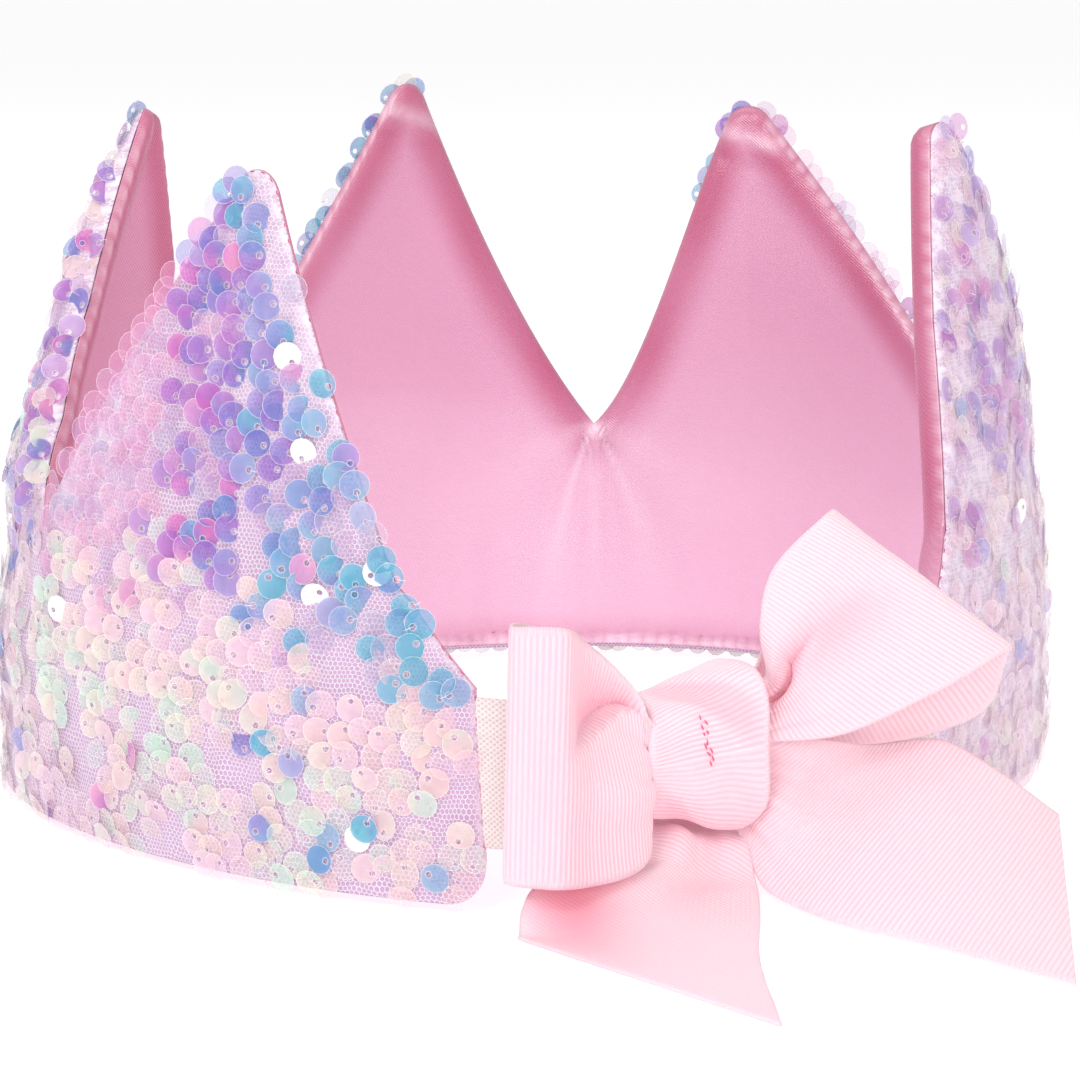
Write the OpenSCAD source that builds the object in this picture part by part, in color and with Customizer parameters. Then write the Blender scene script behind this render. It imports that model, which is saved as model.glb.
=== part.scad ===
// Sequin crown for a child, in millimetres.
// A band of sequined net and satin with five rounded points stands on its hem. Its two ends
// meet at the wearer's back, towards +Y, in a short elastic that carries a ribbon bow.
// The middle point of the band is towards -Y, and +X is the wearer's left.

/* [Band] */
// Thickness of the outer panel, and of the lining
cloth_t = 1.2; // [1:0.1:1.3]
// Gap between the outer panel and the lining
cloth_gap = 0.3; // [0.2:0.1:0.4]
// Radius of the five rounded points
tip_r = 5; // [4:0.5:6]
// Radius of the hem's corner at each end of the band
corner_r = 6; // [4:1:8]
// How far the end edges slant back towards their top
end_slant = 2; // [0:0.5:3]

/* [Elastic] */
// Thickness of the elastic
elastic_t = 1; // [0.8:0.1:1.1]
// Length of elastic that is tucked in at each end of the band
tuck_l = 6; // [5:0.5:7]

/* [Bow] */
// Thickness of the ribbon
ribbon_t = 1; // [0.8:0.1:1.1]
// Thickness of the doubled ribbon that makes the knot
knot_t = 1.2; // [1:0.1:1.3]

/* [Hidden] */

// Moves the middle of the whole crown over the origin
to_middle = [9.51, 44.13, 0];

net_pink = [0.90, 0.78, 0.90];
satin_pink = [0.93, 0.60, 0.76];
ivory = [0.95, 0.92, 0.86];
ribbon_pink = [0.97, 0.76, 0.84];

// The band's outline. Columns: distance along the band, height of the corner, and how far the
// side from this corner to the next one sags below a straight line.
// The five points are the odd rows from the third to the eleventh.
outline = [
    [0,     32,    0],
    [14,    45.5,  0],
    [42,    101,   0],
    [89,    46,    0],
    [133.5, 106.5, 0],
    [180,   44,    0],
    [222,   108.5, 2.5],
    [263,   44.5,  5],
    [293.5, 104,   0],
    [352,   43.5,  0],
    [398.5, 105,   0],
    [428,   45.5,  0],
    [441,   32,    0]
];
band_l = outline[len(outline) - 1][0];

// Where the band starts, at the wearer's left end, and its heading at every tenth of its length
band_start = [35.3, 0.9];
heading = [319.3, 297.5, 274, 234.5, 202.8, 175.6, 150.7, 116.7, 83, 43, 29];

// How far the points lean in. Columns: distance along the band, lean at the height lean_top.
lean_in = [
    [0,   8],
    [89,  12],
    [99,  24],
    [111, 24.5],
    [122, 22.5],
    [134, 20.5],
    [154, 29],
    [180, 23],
    [222, 16],
    [264, 9],
    [294, 4],
    [352, 8],
    [377, 11],
    [399, 15.5],
    [415, 21],
    [441, 24]
];
lean_from = 25;
lean_top = 103;
lean_power = 1.3;

// Extra room between the two walls where the elastic is tucked in
tuck_gap = elastic_t + 0.7;
tuck_fade = 9;

// The free stretch of the elastic. Columns: x, y, low edge z, high edge z.
elastic_rows = [
    [32,    2.8,  9.2,  30.4],
    [28.5,  2.9,  9.0,  29.9],
    [22,    1.6,  10,   28.6],
    [14,   -0.2,  14.6, 28],
    [5,    -0.8,  13.4, 28],
    [-6,   -0.7,  11,   28.6],
    [-18,  -0.2,  8.8,  28.8],
    [-28,   0.7,  8.8,  29.4],
    [-34,   0.7,  9.1,  30.2]
];
tuck_low = 9.5;
tuck_high = 30.6;

// Ribbon pieces, one row for each section across the ribbon.
// Columns: low edge x, y, z, high edge x, y, z, height of the fold, depth of the tuck beside it.
left_loop_rows = [
    [9,    6.0,  15,   8.5,  4.7,  25.5, 0.5, 0.5],
    [15.2, 6.0,  14.2, 14.8, 4.5,  27.6, 0.2, 0.8],
    [17,   9.5,  9.0,  16.2, 5.4,  31,   2.1, 1.8],
    [20.5, 12.8, 6.8,  19.5, 7.0,  34.8, 2.8, 2.6],
    [27,   15.5, 6.8,  25.5, 9.5,  39.5, 2.2, 2.2],
    [33,   16.5, 7.4,  31.5, 16.0, 43.0, 0,   0],
    [38,   12.0, 7.6,  37,   12.0, 43.0, 0,   0],
    [34.5, 6.9,  7.0,  33,   6.4,  42.0, 0,   0],
    [25,   5.0,  8.0,  24,   4.2,  38.0, 0,   0.4],
    [15.5, 3.0,  13.4, 14.6, 2.6,  29,   0.4, 0.4],
    [9,    1.8,  14.8, 8.5,  1.8,  25,   0.3, 0.3]
];
right_loop_rows = [
    [2,     6.0,  22.5, 2,    6.0, 30,   0.6, 0.4],
    [-5.2,  6.7,  22.6, -5.4, 6.0, 30.4, 0.4, 0.6],
    [-14.5, 13.0, 23.4, -2.2, 8.6, 39,   2.6, 2.2],
    [-28.5, 16.0, 28.3, -5.5, 7.5, 46.5, 2.0, 2.0],
    [-40,   15.0, 32.4, -14,  7.0, 53,   0,   0],
    [-42.5, 12.0, 31.0, -17,  4.0, 52.5, 0,   0],
    [-40,   9.0,  22.0, -14,  2.5, 47,   0,   0],
    [-24.4, 5.4,  18.3, -8,   2.6, 39,   0,   0.4],
    [-10,   2.8,  20.5, -5.5, 2.6, 31,   0.4, 0.4],
    [2,     1.8,  22.5, 2,    1.8, 29,   0.3, 0.3]
];
left_tail_rows = [
    [-0.5, -5.2, 17,   12.5, -5.2, 18,   0,   0],
    [-1.2, -5.2, 10.5, 13,   -5.0, 12.5, 0,   0],
    [-2.4, -1.5, 5.8,  14,   -1.5, 9.0,  0.3, 0.3],
    [-2.4,  6.0, 5.6,  15,    5.2, 9.2,  1.5, 0.6],
    [-1.4, 10.5, 2.8,  20,    8.2, 6.9,  1.2, 0.8],
    [0.6,  15,   1.6,  32,   10.2, 6.6,  1.0, 0.8],
    [4.5,  22,   0.9,  36,   12.2, 4.2,  0.5, 0.3],
    [14,   38,   0.7,  37.3, 13.8, 1.0,  0,   0],
    [24,   60,   0.7,  37.8, 14.4, 0.8,  0,   0]
];
right_tail_rows = [
    [1,     3.9,  13,   0,     4.2,  20,   0.2, 0.2],
    [-3.4,  4.8,  8.8,  -6,    6.4,  20.6, 0.5, 0.5],
    [-3.8,  8.5,  4.4,  -13,   8.8,  20.7, 0.8, 0.8],
    [-2.6,  15,   1.8,  -22,   8.2,  19.3, 0.5, 0.5],
    [-4,    29,   0.9,  -31,   12.2, 19.8, 0,   0],
    [-10.4, 43,   0.8,  -35.5, 20,   16.6, 0,   0],
    [-17.5, 64,   0.8,  -40.5, 28,   11.4, 0,   0]
];
// Folds of each piece. Columns: place of the fold and of the tuck across the ribbon, from 0 at the
// low edge to 1 at the high one, and the side of the ribbon that the fold stands out on.
left_loop_folds = [0.5, 0.7, -1];
right_loop_folds = [0.78, 0.58, 1];
left_tail_folds = [0.64, 0.32, -1];
right_tail_folds = [0.4, 0.7, 1];
fold_w = 0.16;

// The knot's wall, going once round it from its front.
// Columns: left edge x, y, z, right edge x, y, z.
knot_rows = [
    [14.6,  9.4, 21.5, -4.6,  9.8, 21.5],
    [14.4,  9.0, 26.5, -4.3,  9.6, 28.5],
    [14,    7.0, 30.0, -3.2,  7.4, 32.6],
    [13,    2.6, 31.0, -1.6,  2.6, 33],
    [12,   -1.6, 30.2, -0.5, -1.6, 31.5],
    [11.5, -3.4, 26.5,  0,   -3.4, 27],
    [11.5, -3.6, 20.5,  0,   -3.6, 20],
    [11.8, -3.2, 15.0,  0,   -3.2, 13],
    [12.4, -1.0, 12.6,  0.4, -1.0, 10],
    [13,    3.0, 12.0,  0.2,  3.0, 9.2],
    [13.8,  7.0, 12.8, -1.5,  7.0, 9.0],
    [14.4,  9.0, 16.0, -4.2,  9.4, 13]
];

// Number of spans across and along each kind of piece
wall_spans_z = 7;
side_spans = 6;
ribbon_spans_w = 8;
spans_per_row = 3;
knot_spans_x = 4;
elastic_spans_z = 3;

// Smooth curve through b and c, with a before them and d after them, at the share f between them
function smooth(a, b, c, d, f) =
    (2 * b + (c - a) * f + (2 * a - 5 * b + 4 * c - d) * f * f
        + (3 * b - a - 3 * c + d) * f * f * f) / 2;

// Value of a table of evenly spaced rows at the share u of its length
function smooth_at(table, u) =
    let (last = len(table) - 1,
         k = min(floor(u * last), last - 1),
         b = table[k],
         c = table[k + 1],
         a = k == 0 ? 2 * b - c : table[k - 1],
         d = k == last - 1 ? 2 * c - b : table[k + 2])
    smooth(a, b, c, d, u * last - k);

function unit(v) = v / norm(v);
function ease(u) = let (c = max(0, min(1, u))) c * c * (3 - 2 * c);
function first_three(row) = [row[0], row[1], row[2]];
function next_three(row) = [row[3], row[4], row[5]];

// The band's path over the floor, followed along its heading in steps of about 1 mm
path_steps = 441;
path_step = band_l / path_steps;
function heading_at(s) = smooth_at(heading, s / band_l);
path = [
    for (i = 0, p = band_start; i <= path_steps; p = p + path_step
        * [cos(heading_at((i + 0.5) * path_step)), sin(heading_at((i + 0.5) * path_step))],
        i = i + 1)
    p
];
function path_at(s) =
    let (k = min(floor(s / path_step), path_steps - 1), f = s / path_step - k)
    path[k] * (1 - f) + path[k + 1] * f;

// Height of the outline at the distance d from a point's tip, on the side of the next corner.
// A round tip meets a straight side, which sags towards the corner.
function side_height(tip, corner, sag, d) =
    let (run = abs(corner[0] - tip[0]),
         centre = tip[1] - tip_r,
         drop = centre - corner[1],
         turn = acos(tip_r / norm([run, drop])) - atan2(drop, run),
         touch = [tip_r * cos(turn), centre + tip_r * sin(turn)],
         u = (d - touch[0]) / (run - touch[0]))
    d <= touch[0]
        ? centre + sqrt(tip_r * tip_r - d * d)
        : touch[1] + (corner[1] - touch[1]) * u - sag * 6.75 * u * u * (1 - u);

// Height of the outline at the distance s along the band, between corners k and k + 1
function height_between(k, s) =
    let (a = outline[k], b = outline[k + 1])
    k == 0 || k == len(outline) - 2
        ? a[1] + (b[1] - a[1]) * (s - a[0]) / (b[0] - a[0])
        : k % 2 == 0
            ? side_height(a, b, a[2], s - a[0])
            : side_height(b, a, a[2], b[0] - s);

// Distances from a tip at which its side has columns: round tip first, then even steps
tip_steps = [0, 0.3, 0.58, 0.82];
function side_steps(run) = concat(
    [for (t = tip_steps) t * tip_r],
    [for (j = [0 : side_spans - 1]) 1.1 * tip_r + (run - 1.1 * tip_r) * j / side_spans]);

// Columns of the wall, as pairs of distance along the band and height
end_steps = [0, 0.15, 0.4, 0.75, 1.2, 1.7];
function end_columns(k, from_start) = [
    for (t = end_steps)
    let (s = from_start ? t * corner_r : band_l - t * corner_r)
    [s, height_between(k, s)]];
function turned(list) = [for (i = [len(list) - 1 : -1 : 0]) list[i]];
function side_columns(k) =
    let (a = outline[k], b = outline[k + 1],
         from_tip = side_steps(b[0] - a[0]),
         places = k % 2 == 0
             ? [for (d = from_tip) a[0] + d]
             : [a[0], for (i = [len(from_tip) - 1 : -1 : 1]) b[0] - from_tip[i]])
    [for (s = places) [s, height_between(k, s)]];
last_side = len(outline) - 3;
columns = concat(
    end_columns(0, true),
    [for (k = [1 : last_side]) each side_columns(k)],
    [[outline[last_side + 1][0], outline[last_side + 1][1]]],
    turned(end_columns(last_side + 1, false)));

// Height of the hem: the two lower corners are rounded
function hem_height(s) =
    let (d = min(s, band_l - s))
    d < corner_r ? corner_r - sqrt(corner_r * corner_r - pow(corner_r - d, 2)) : 0;

// A point of the band: s along it, at height z, and off outwards from its middle surface
function wall_point(s, z, off) =
    let (from_end = min(s, band_l - s),
         slant = end_slant * z / outline[0][1] * max(0, 1 - from_end / (2 * corner_r)),
         at = s < band_l / 2 ? s + slant : s - slant,
         p = path_at(at),
         h = heading_at(at),
         lean = lookup(at, lean_in)
             * pow(max(z - lean_from, 0) / (lean_top - lean_from), lean_power))
    [p[0] - sin(h) * (off - lean), p[1] + cos(h) * (off - lean), z];

// Half of the gap between the two walls, which widens at the ends for the elastic
function half_gap(s) =
    let (d = min(s, band_l - s))
    (cloth_gap + (tuck_gap - cloth_gap) * (1 - ease((d - tuck_l) / tuck_fade))) / 2;

// One face of a wall: a grid of points, columns along the band and rows up its height.
// side is 1 outside the middle surface and -1 inside it, depth is measured from the gap.
function wall_face(side, depth) = [
    for (c = columns)
    let (low = hem_height(c[0]), gap = half_gap(c[0]))
    [for (j = [0 : wall_spans_z])
        wall_point(c[0], low + (c[1] - low) * j / wall_spans_z, side * (gap + depth))]];

// Middle surface of a ribbon piece: grid of points, along the ribbon and across it
function ribbon_middle(rows, folds) =
    let (count = (len(rows) - 1) * spans_per_row, e = 0.004)
    [for (i = [0 : count])
        let (u = i / count,
             r = smooth_at(rows, u),
             ahead = smooth_at(rows, min(1, u + e)),
             behind = smooth_at(rows, max(0, u - e)),
             low = first_three(r),
             across = next_three(r) - low,
             along = first_three(ahead) + next_three(ahead)
                 - first_three(behind) - next_three(behind),
             out = folds[2] * unit(cross(along, across)))
        [for (j = [0 : ribbon_spans_w])
            let (w = j / ribbon_spans_w)
            low + across * w
                + out * (r[6] * exp(-pow((w - folds[0]) / fold_w, 2))
                    - r[7] * exp(-pow((w - folds[1]) / fold_w, 2)))]];

// A grid moved along its own normals by the distance off
function offset_grid(grid, off) = [
    for (i = [0 : len(grid) - 1])
    [for (j = [0 : len(grid[0]) - 1])
        let (up = grid[min(i + 1, len(grid) - 1)][j] - grid[max(i - 1, 0)][j],
             side = grid[i][min(j + 1, len(grid[0]) - 1)] - grid[i][max(j - 1, 0)])
        grid[i][j] + off * unit(cross(up, side))]];

// Two triangles between rows a and b of points, columns c and d, facing the side of turn 1 or -1
function cell(p, q, r, s, turn) = turn > 0 ? [[p, q, r], [p, r, s]] : [[p, r, q], [p, s, r]];

// A closed wall between two grids of the same size. The front grid lies on the side to which
// cross(from row to row, from column to column) points.
module wall(front, back) {
    rows = len(front);
    cols = len(front[0]);
    n = rows * cols;
    rim = concat(
        [for (j = [0 : cols - 2]) j],
        [for (i = [0 : rows - 2]) i * cols + cols - 1],
        [for (j = [cols - 1 : -1 : 1]) (rows - 1) * cols + j],
        [for (i = [rows - 1 : -1 : 1]) i * cols]);
    faces = concat(
        [for (i = [0 : rows - 2]) for (j = [0 : cols - 2]) for (side = [0, 1])
            let (a = i * cols + j + side * n)
            each cell(a, a + 1, a + cols + 1, a + cols, side == 0 ? 1 : -1)],
        [for (k = [0 : len(rim) - 1])
            let (a = rim[k], b = rim[(k + 1) % len(rim)])
            each cell(a, a + n, b + n, b, 1)]);
    polyhedron(points = [for (g = [front, back]) for (row = g) each row],
               faces = faces, convexity = 10);
}

module ribbon_piece(rows, folds) {
    middle = ribbon_middle(rows, folds);
    translate(to_middle)
        color(ribbon_pink)
            wall(offset_grid(middle, ribbon_t / 2), offset_grid(middle, -ribbon_t / 2));
}

module outer_panel() {
    translate(to_middle)
        color(net_pink)
            wall(wall_face(1, 0), wall_face(1, cloth_t));
}

module satin_lining() {
    translate(to_middle)
        color(satin_pink)
            wall(wall_face(-1, cloth_t), wall_face(-1, 0));
}

// The elastic follows the band's middle surface where it is tucked in, then runs to the other end
module elastic_band() {
    shares = [for (j = [0 : elastic_spans_z]) j / elastic_spans_z];
    function tucked(s) = [for (w = shares) wall_point(s, tuck_low + (tuck_high - tuck_low) * w, 0)];
    free = [
        for (i = [0 : 2 * (len(elastic_rows) - 1)])
        let (r = smooth_at(elastic_rows, i / (2 * (len(elastic_rows) - 1))))
        [for (w = shares) [r[0], r[1], r[2] + (r[3] - r[2]) * w]]];
    middle = concat(
        [for (s = [tuck_l, tuck_l / 2, 0]) tucked(s)],
        free,
        [for (s = [0, tuck_l / 2, tuck_l]) tucked(band_l - s)]);
    translate(to_middle)
        color(ivory)
            wall(offset_grid(middle, elastic_t / 2), offset_grid(middle, -elastic_t / 2));
}

module bow_knot() {
    count = len(knot_rows);
    steps = 2 * count;
    ring = [for (i = [0 : steps - 1])
        let (k = floor(i / 2))
        smooth(knot_rows[(k + count - 1) % count], knot_rows[k], knot_rows[(k + 1) % count],
               knot_rows[(k + 2) % count], (i % 2) / 2)];
    middle = [for (r = ring)
        [for (j = [0 : knot_spans_x])
            let (low = first_three(r), high = next_three(r))
            low + (high - low) * j / knot_spans_x]];
    function inward(i, j) =
        let (ahead = middle[(i + 1) % steps][j] - middle[(i + steps - 1) % steps][j])
        unit([0, -ahead[2], ahead[1]]);
    function face(depth) = [for (i = [0 : steps - 1])
        [for (j = [0 : knot_spans_x]) middle[i][j] + depth * inward(i, j)]];
    cols = knot_spans_x + 1;
    n = steps * cols;
    faces = concat(
        [for (i = [0 : steps - 1]) for (j = [0 : knot_spans_x - 1]) for (side = [0, 1])
            let (a = i * cols + j + side * n, b = (i + 1) % steps * cols + j + side * n)
            each cell(a, a + 1, b + 1, b, side == 0 ? -1 : 1)],
        [for (i = [0 : steps - 1]) for (j = [0, knot_spans_x])
            let (a = i * cols + j, b = (i + 1) % steps * cols + j)
            each cell(a, a + n, b + n, b, j == 0 ? 1 : -1)]);
    translate(to_middle)
        color(ribbon_pink)
            polyhedron(points = [for (g = [face(0), face(knot_t)]) for (row = g) each row],
                       faces = faces, convexity = 6);
}

module left_loop() {
    ribbon_piece(left_loop_rows, left_loop_folds);
}

module right_loop() {
    ribbon_piece(right_loop_rows, right_loop_folds);
}

module left_tail() {
    ribbon_piece(left_tail_rows, left_tail_folds);
}

module right_tail() {
    ribbon_piece(right_tail_rows, right_tail_folds);
}

outer_panel();
satin_lining();
elastic_band();
bow_knot();
left_loop();
right_loop();
left_tail();
right_tail();
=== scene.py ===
"""Looks of a child's sequin crown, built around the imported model.

The band's path, outline and lean, and the ribbon's sections, are the same named values as in the
part's source, here in millimetres. Only the ribbon's sections close to the knot, the knot's left
edge and the tails' low edges near it lie up to 3 mm from the source's, for a closer meeting. Each
class below makes the meshes of one sub-assembly, as surfaces worked out with numpy, and each finish
is a frozen dataclass that builds one material.
"""
import logging
import math
from dataclasses import dataclass, field
from enum import Enum
from functools import cache, reduce
from itertools import pairwise

import bpy
import numpy as np
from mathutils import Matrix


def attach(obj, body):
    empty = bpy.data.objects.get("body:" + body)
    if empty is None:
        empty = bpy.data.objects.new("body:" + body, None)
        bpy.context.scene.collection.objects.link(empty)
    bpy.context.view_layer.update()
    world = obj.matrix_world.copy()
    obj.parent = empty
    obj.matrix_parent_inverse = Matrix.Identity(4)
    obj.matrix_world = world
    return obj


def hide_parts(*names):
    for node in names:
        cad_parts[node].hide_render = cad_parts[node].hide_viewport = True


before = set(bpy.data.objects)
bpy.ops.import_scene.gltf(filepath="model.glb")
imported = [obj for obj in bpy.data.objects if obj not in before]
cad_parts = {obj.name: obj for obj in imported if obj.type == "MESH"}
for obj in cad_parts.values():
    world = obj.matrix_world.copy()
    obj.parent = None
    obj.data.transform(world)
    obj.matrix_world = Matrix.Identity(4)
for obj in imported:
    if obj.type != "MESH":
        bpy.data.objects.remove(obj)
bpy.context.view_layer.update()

Array = np.ndarray
Colour = tuple[float, float, float]
Rgba = tuple[float, float, float, float]
Material = bpy.types.Material
Piece = bpy.types.Object
Socket = bpy.types.NodeSocket
Tree = bpy.types.NodeTree

LOG = logging.getLogger("sequin_crown")
MM = 0.001
SEED = 11257
TAU = 2 * math.pi
BODY = "root"
# From the place where the band's path is drawn to the frame's origin, in millimetres
TO_MIDDLE = np.array([9.51, 44.13, 0.0])


class Held(Enum):
    """How a sheet of cloth is held, in the frame's own words."""

    STRETCHED = "stretched"
    FOLDED = "folded"
    LAID = "laid"


class Slot(Enum):
    """Material slots of the record."""

    NET = "sequined_net"
    SATIN = "satin"
    ELASTIC = "elastic"
    RIBBON = "ribbon"


# Numbers


def linear(colour: Colour) -> Array:
    """Turn a display colour into a linear one.

    Args:
        colour: red, green and blue from 0 to 1 as seen on a display, or an array of them.

    Returns:
        The same colour in linear light, by the sRGB curve.
    """
    c = np.asarray(colour, float)
    return np.where(c <= 0.04045, c / 12.92, ((c + 0.055) / 1.055) ** 2.4)


def rgba(colour: Colour) -> Rgba:
    """Linear colour of a display colour, with full alpha."""
    return (*linear(colour).tolist(), 1.0)


def ease(u: Array) -> Array:
    """Smooth step from 0 to 1: 3 u squared less 2 u cubed, flat outside."""
    c = np.clip(u, 0, 1)
    return c * c * (3 - 2 * c)


def quarter_round(u: Array) -> Array:
    """Quarter circle from 0 at u = 0 to 1 at u = 1: the root of 1 less (1 - u) squared."""
    return np.sqrt(1 - (1 - np.clip(u, 0, 1)) ** 2)


def bell(x: Array, width: float) -> Array:
    """Gaussian: the exponential of minus the square of x over the width."""
    return np.exp(-((x / width) ** 2))


def window(x: Array, start: float, end: float, rise: float, fall: float) -> Array:
    """1 between start and end: a smooth step up over rise, times one down over fall."""
    return ease((x - start) / rise) * ease((end - x) / fall)


def within(x: Array, spans: tuple) -> Array:
    """True where x lies inside one of the spans, each given as its start and end."""
    return np.any([(x > start) & (x < end) for start, end in spans], 0)


def walk(line: Array) -> Array:
    """Distance walked along a line of points, from 0 at the first one."""
    return np.concatenate([[0], np.cumsum(np.linalg.norm(np.diff(line, axis=0), axis=1))])


def cubic(table: Array, place: Array) -> Array:
    """Follow the smooth curve through the rows of a table.

    Args:
        table: the curve's rows, with a neighbour before the first and one after the last.
        place: places along the curve, counted in rows from its first one.

    Returns:
        One row for each place. Between two rows it is the cubic whose slope at each row is half
        the step between that row's two neighbours.
    """
    k = np.minimum(place.astype(int), len(table) - 4)
    f = (place - k)[:, None]
    a, b, c, d = table[k], table[k + 1], table[k + 2], table[k + 3]
    return (2 * b + (c - a) * f + (2 * a - 5 * b + 4 * c - d) * f**2 + (3 * b - a - 3 * c + d) * f**3) / 2


def smooth_rows(rows: Array, share: Array) -> Array:
    """Follow the smooth curve through evenly spaced rows, mirrored past its ends.

    Args:
        rows: table with one row for each section.
        share: places along the table, from 0 at the first row to 1 at the last.

    Returns:
        One row for each place, by the cubic through its neighbours.
    """
    rows = np.asarray(rows, float)
    if rows.ndim == 1:
        rows = rows[:, None]
    last = len(rows) - 1
    table = np.vstack([2 * rows[0] - rows[1], rows, 2 * rows[-1] - rows[-2]])
    return cubic(table, np.clip(np.asarray(share, float) * last, 0, last - 1e-9))


def ripple(x: Array, y: Array, size: float, seed: int) -> Array:
    """Soft uneven waves over a plane, from about -1 to 1.

    Args:
        x: first coordinates.
        y: second coordinates.
        size: typical length of a wave, in the coordinates' unit.
        seed: chooses the waves.

    Returns:
        The mean of seven sines with directions, lengths and phases drawn from the seed, doubled.
    """
    rng = np.random.default_rng(seed)
    total = 0
    for _ in range(7):
        turn, phase = rng.uniform(0, TAU, 2)
        length = size * rng.uniform(0.7, 1.6)
        total = total + np.sin(TAU * (x * math.cos(turn) + y * math.sin(turn)) / length + phase)
    return total * 2 / 7


def unit(v: Array) -> Array:
    """Vectors scaled to length 1 along their last axis."""
    return v / np.maximum(np.linalg.norm(v, axis=-1, keepdims=True), 1e-12)


def segment_distance(points: Array, start: Array, end: Array) -> Array:
    """Distance of each point from the nearest place on its own segment, from start to end.

    Args:
        points: rows of points.
        start: where each row's segment starts.
        end: where it ends.

    Returns:
        One distance for each row.
    """
    run = end - start
    share = ((points - start) * run).sum(1) / np.maximum((run**2).sum(1), 1e-12)
    return np.linalg.norm(points - start - run * np.clip(share, 0, 1)[:, None], axis=1)


def normals(grid: Array, closed: bool = False) -> Array:
    """Unit normals of a grid of points, from the cross product of its two directions.

    Args:
        grid: points, with rows along the piece and columns across it.
        closed: True if the last row joins the first one.

    Returns:
        One normal for each point. It is cross(along the rows, across the columns).
    """
    first = np.roll(grid, -1, 0) - np.roll(grid, 1, 0) if closed else np.gradient(grid, axis=0)
    return unit(np.cross(first, np.gradient(grid, axis=1)))


def cells(rows: int, columns: int) -> tuple[Array, Array]:
    """Row and column of every cell of a grid, each as one flat array."""
    i, j = np.meshgrid(np.arange(rows), np.arange(columns), indexing="ij")
    return i.ravel(), j.ravel()


def flat_map(first: Array, second: Array) -> Array:
    """Map of a grid in metres, from its rows' and its columns' places in millimetres."""
    return np.stack(np.meshgrid(first, second, indexing="ij"), -1) * MM


# Meshes


@dataclass
class MeshData:
    """Points, four-sided faces and corner coordinates of one piece, in millimetres."""

    points: Array
    faces: Array
    uv: Array
    tint: Array | None = None
    smooth: bool = True

    def joined(self, other: "MeshData") -> "MeshData":
        """This mesh and another one as a single mesh, both without tints."""
        return MeshData(
            np.vstack([self.points, other.points]),
            np.vstack([self.faces, other.faces + len(self.points)]),
            np.vstack([self.uv, other.uv]),
        )

    def build(self, name: str, material: Material, slot: Slot) -> Piece:
        """Make the Blender object, which stays at the origin and rides on the crown's body.

        Args:
            name: name of the piece.
            material: its finish.
            slot: the record's material slot that it belongs to. It is not used.

        Returns:
            The object, with a UV map named cloth and, if there are tints, a colour named tint.
        """
        mesh = bpy.data.meshes.new(name)
        mesh.vertices.add(len(self.points))
        mesh.vertices.foreach_set("co", ((self.points + TO_MIDDLE) * MM).ravel())
        mesh.loops.add(self.faces.size)
        mesh.loops.foreach_set("vertex_index", self.faces.ravel().astype(np.int32))
        mesh.polygons.add(len(self.faces))
        mesh.polygons.foreach_set("loop_start", np.arange(0, self.faces.size, 4, dtype=np.int32))
        layer = mesh.uv_layers.new(name="cloth")
        layer.data.foreach_set("uv", self.uv.reshape(-1).astype(np.float32))
        if self.tint is not None:
            colour = mesh.color_attributes.new(name="tint", type="FLOAT_COLOR", domain="POINT")
            colour.data.foreach_set("color", self.tint.ravel().astype(np.float32))
        mesh.update(calc_edges=True)
        mesh.validate()
        mesh.polygons.foreach_set("use_smooth", np.full(len(mesh.polygons), self.smooth))
        mesh.materials.append(material)
        piece = bpy.data.objects.new(name, mesh)
        bpy.context.scene.collection.objects.link(piece)
        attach(piece, BODY)
        LOG.info("%s: %d triangles", name, 2 * len(self.faces))
        return piece


def shell(front: Array, back: Array, uv: Array, closed: bool = False) -> MeshData:
    """Close the space between two grids of points.

    Args:
        front: points of the side to which normals() of the grid points.
        back: points of the other side, in the same order.
        uv: coordinates of the grid's points. With closed, it has one more row than the points.
        closed: True if the last row joins the first one.

    Returns:
        A closed mesh: both sides, and a rim along each free edge.
    """
    rows, cols = front.shape[:2]
    spans = rows if closed else rows - 1
    i, j = cells(spans, cols - 1)
    corners = [(i, j), (i + 1, j), (i + 1, j + 1), (i, j + 1)]
    n = rows * cols
    top = np.stack([(r % rows) * cols + c for r, c in corners], 1)
    top_uv = np.stack([uv[r, c] for r, c in corners], 1)
    faces, maps = [top, top[:, ::-1] + n], [top_uv, top_uv[:, ::-1]]

    def rim(r0: Array, c0: Array, r1: Array, c1: Array) -> None:
        """Add the rim's faces along one side of the grid.

        Args:
            r0: rows of the first points.
            c0: columns of the first points.
            r1: rows of the points next to them.
            c1: columns of the points next to them.
        """
        a, b = (r0 % rows) * cols + c0, (r1 % rows) * cols + c1
        faces.append(np.stack([b, a, a + n, b + n], 1))
        maps.append(np.stack([uv[r1, c1], uv[r0, c0], uv[r0, c0], uv[r1, c1]], 1))

    run = np.arange(spans)
    first, last = np.zeros_like(run), np.full_like(run, cols - 1)
    rim(run, first, run + 1, first)
    rim(run + 1, last, run, last)
    if not closed:
        step = np.arange(cols - 1)
        first, last = np.zeros_like(step), np.full_like(step, rows - 1)
        rim(first, step + 1, first, step)
        rim(last, step, last, step + 1)
    points = np.vstack([front.reshape(-1, 3), back.reshape(-1, 3)])
    return MeshData(points, np.vstack(faces), np.vstack(maps))


def tube_faces(rings: int, sides: int) -> Array:
    """Faces of a tube.

    Args:
        rings: number of rings.
        sides: number of sides of each ring.

    Returns:
        Four point numbers for each face.
    """
    i, j = cells(rings - 1, sides)
    k = (j + 1) % sides
    return np.stack([i * sides + j, (i + 1) * sides + j, (i + 1) * sides + k, i * sides + k], 1)


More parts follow.
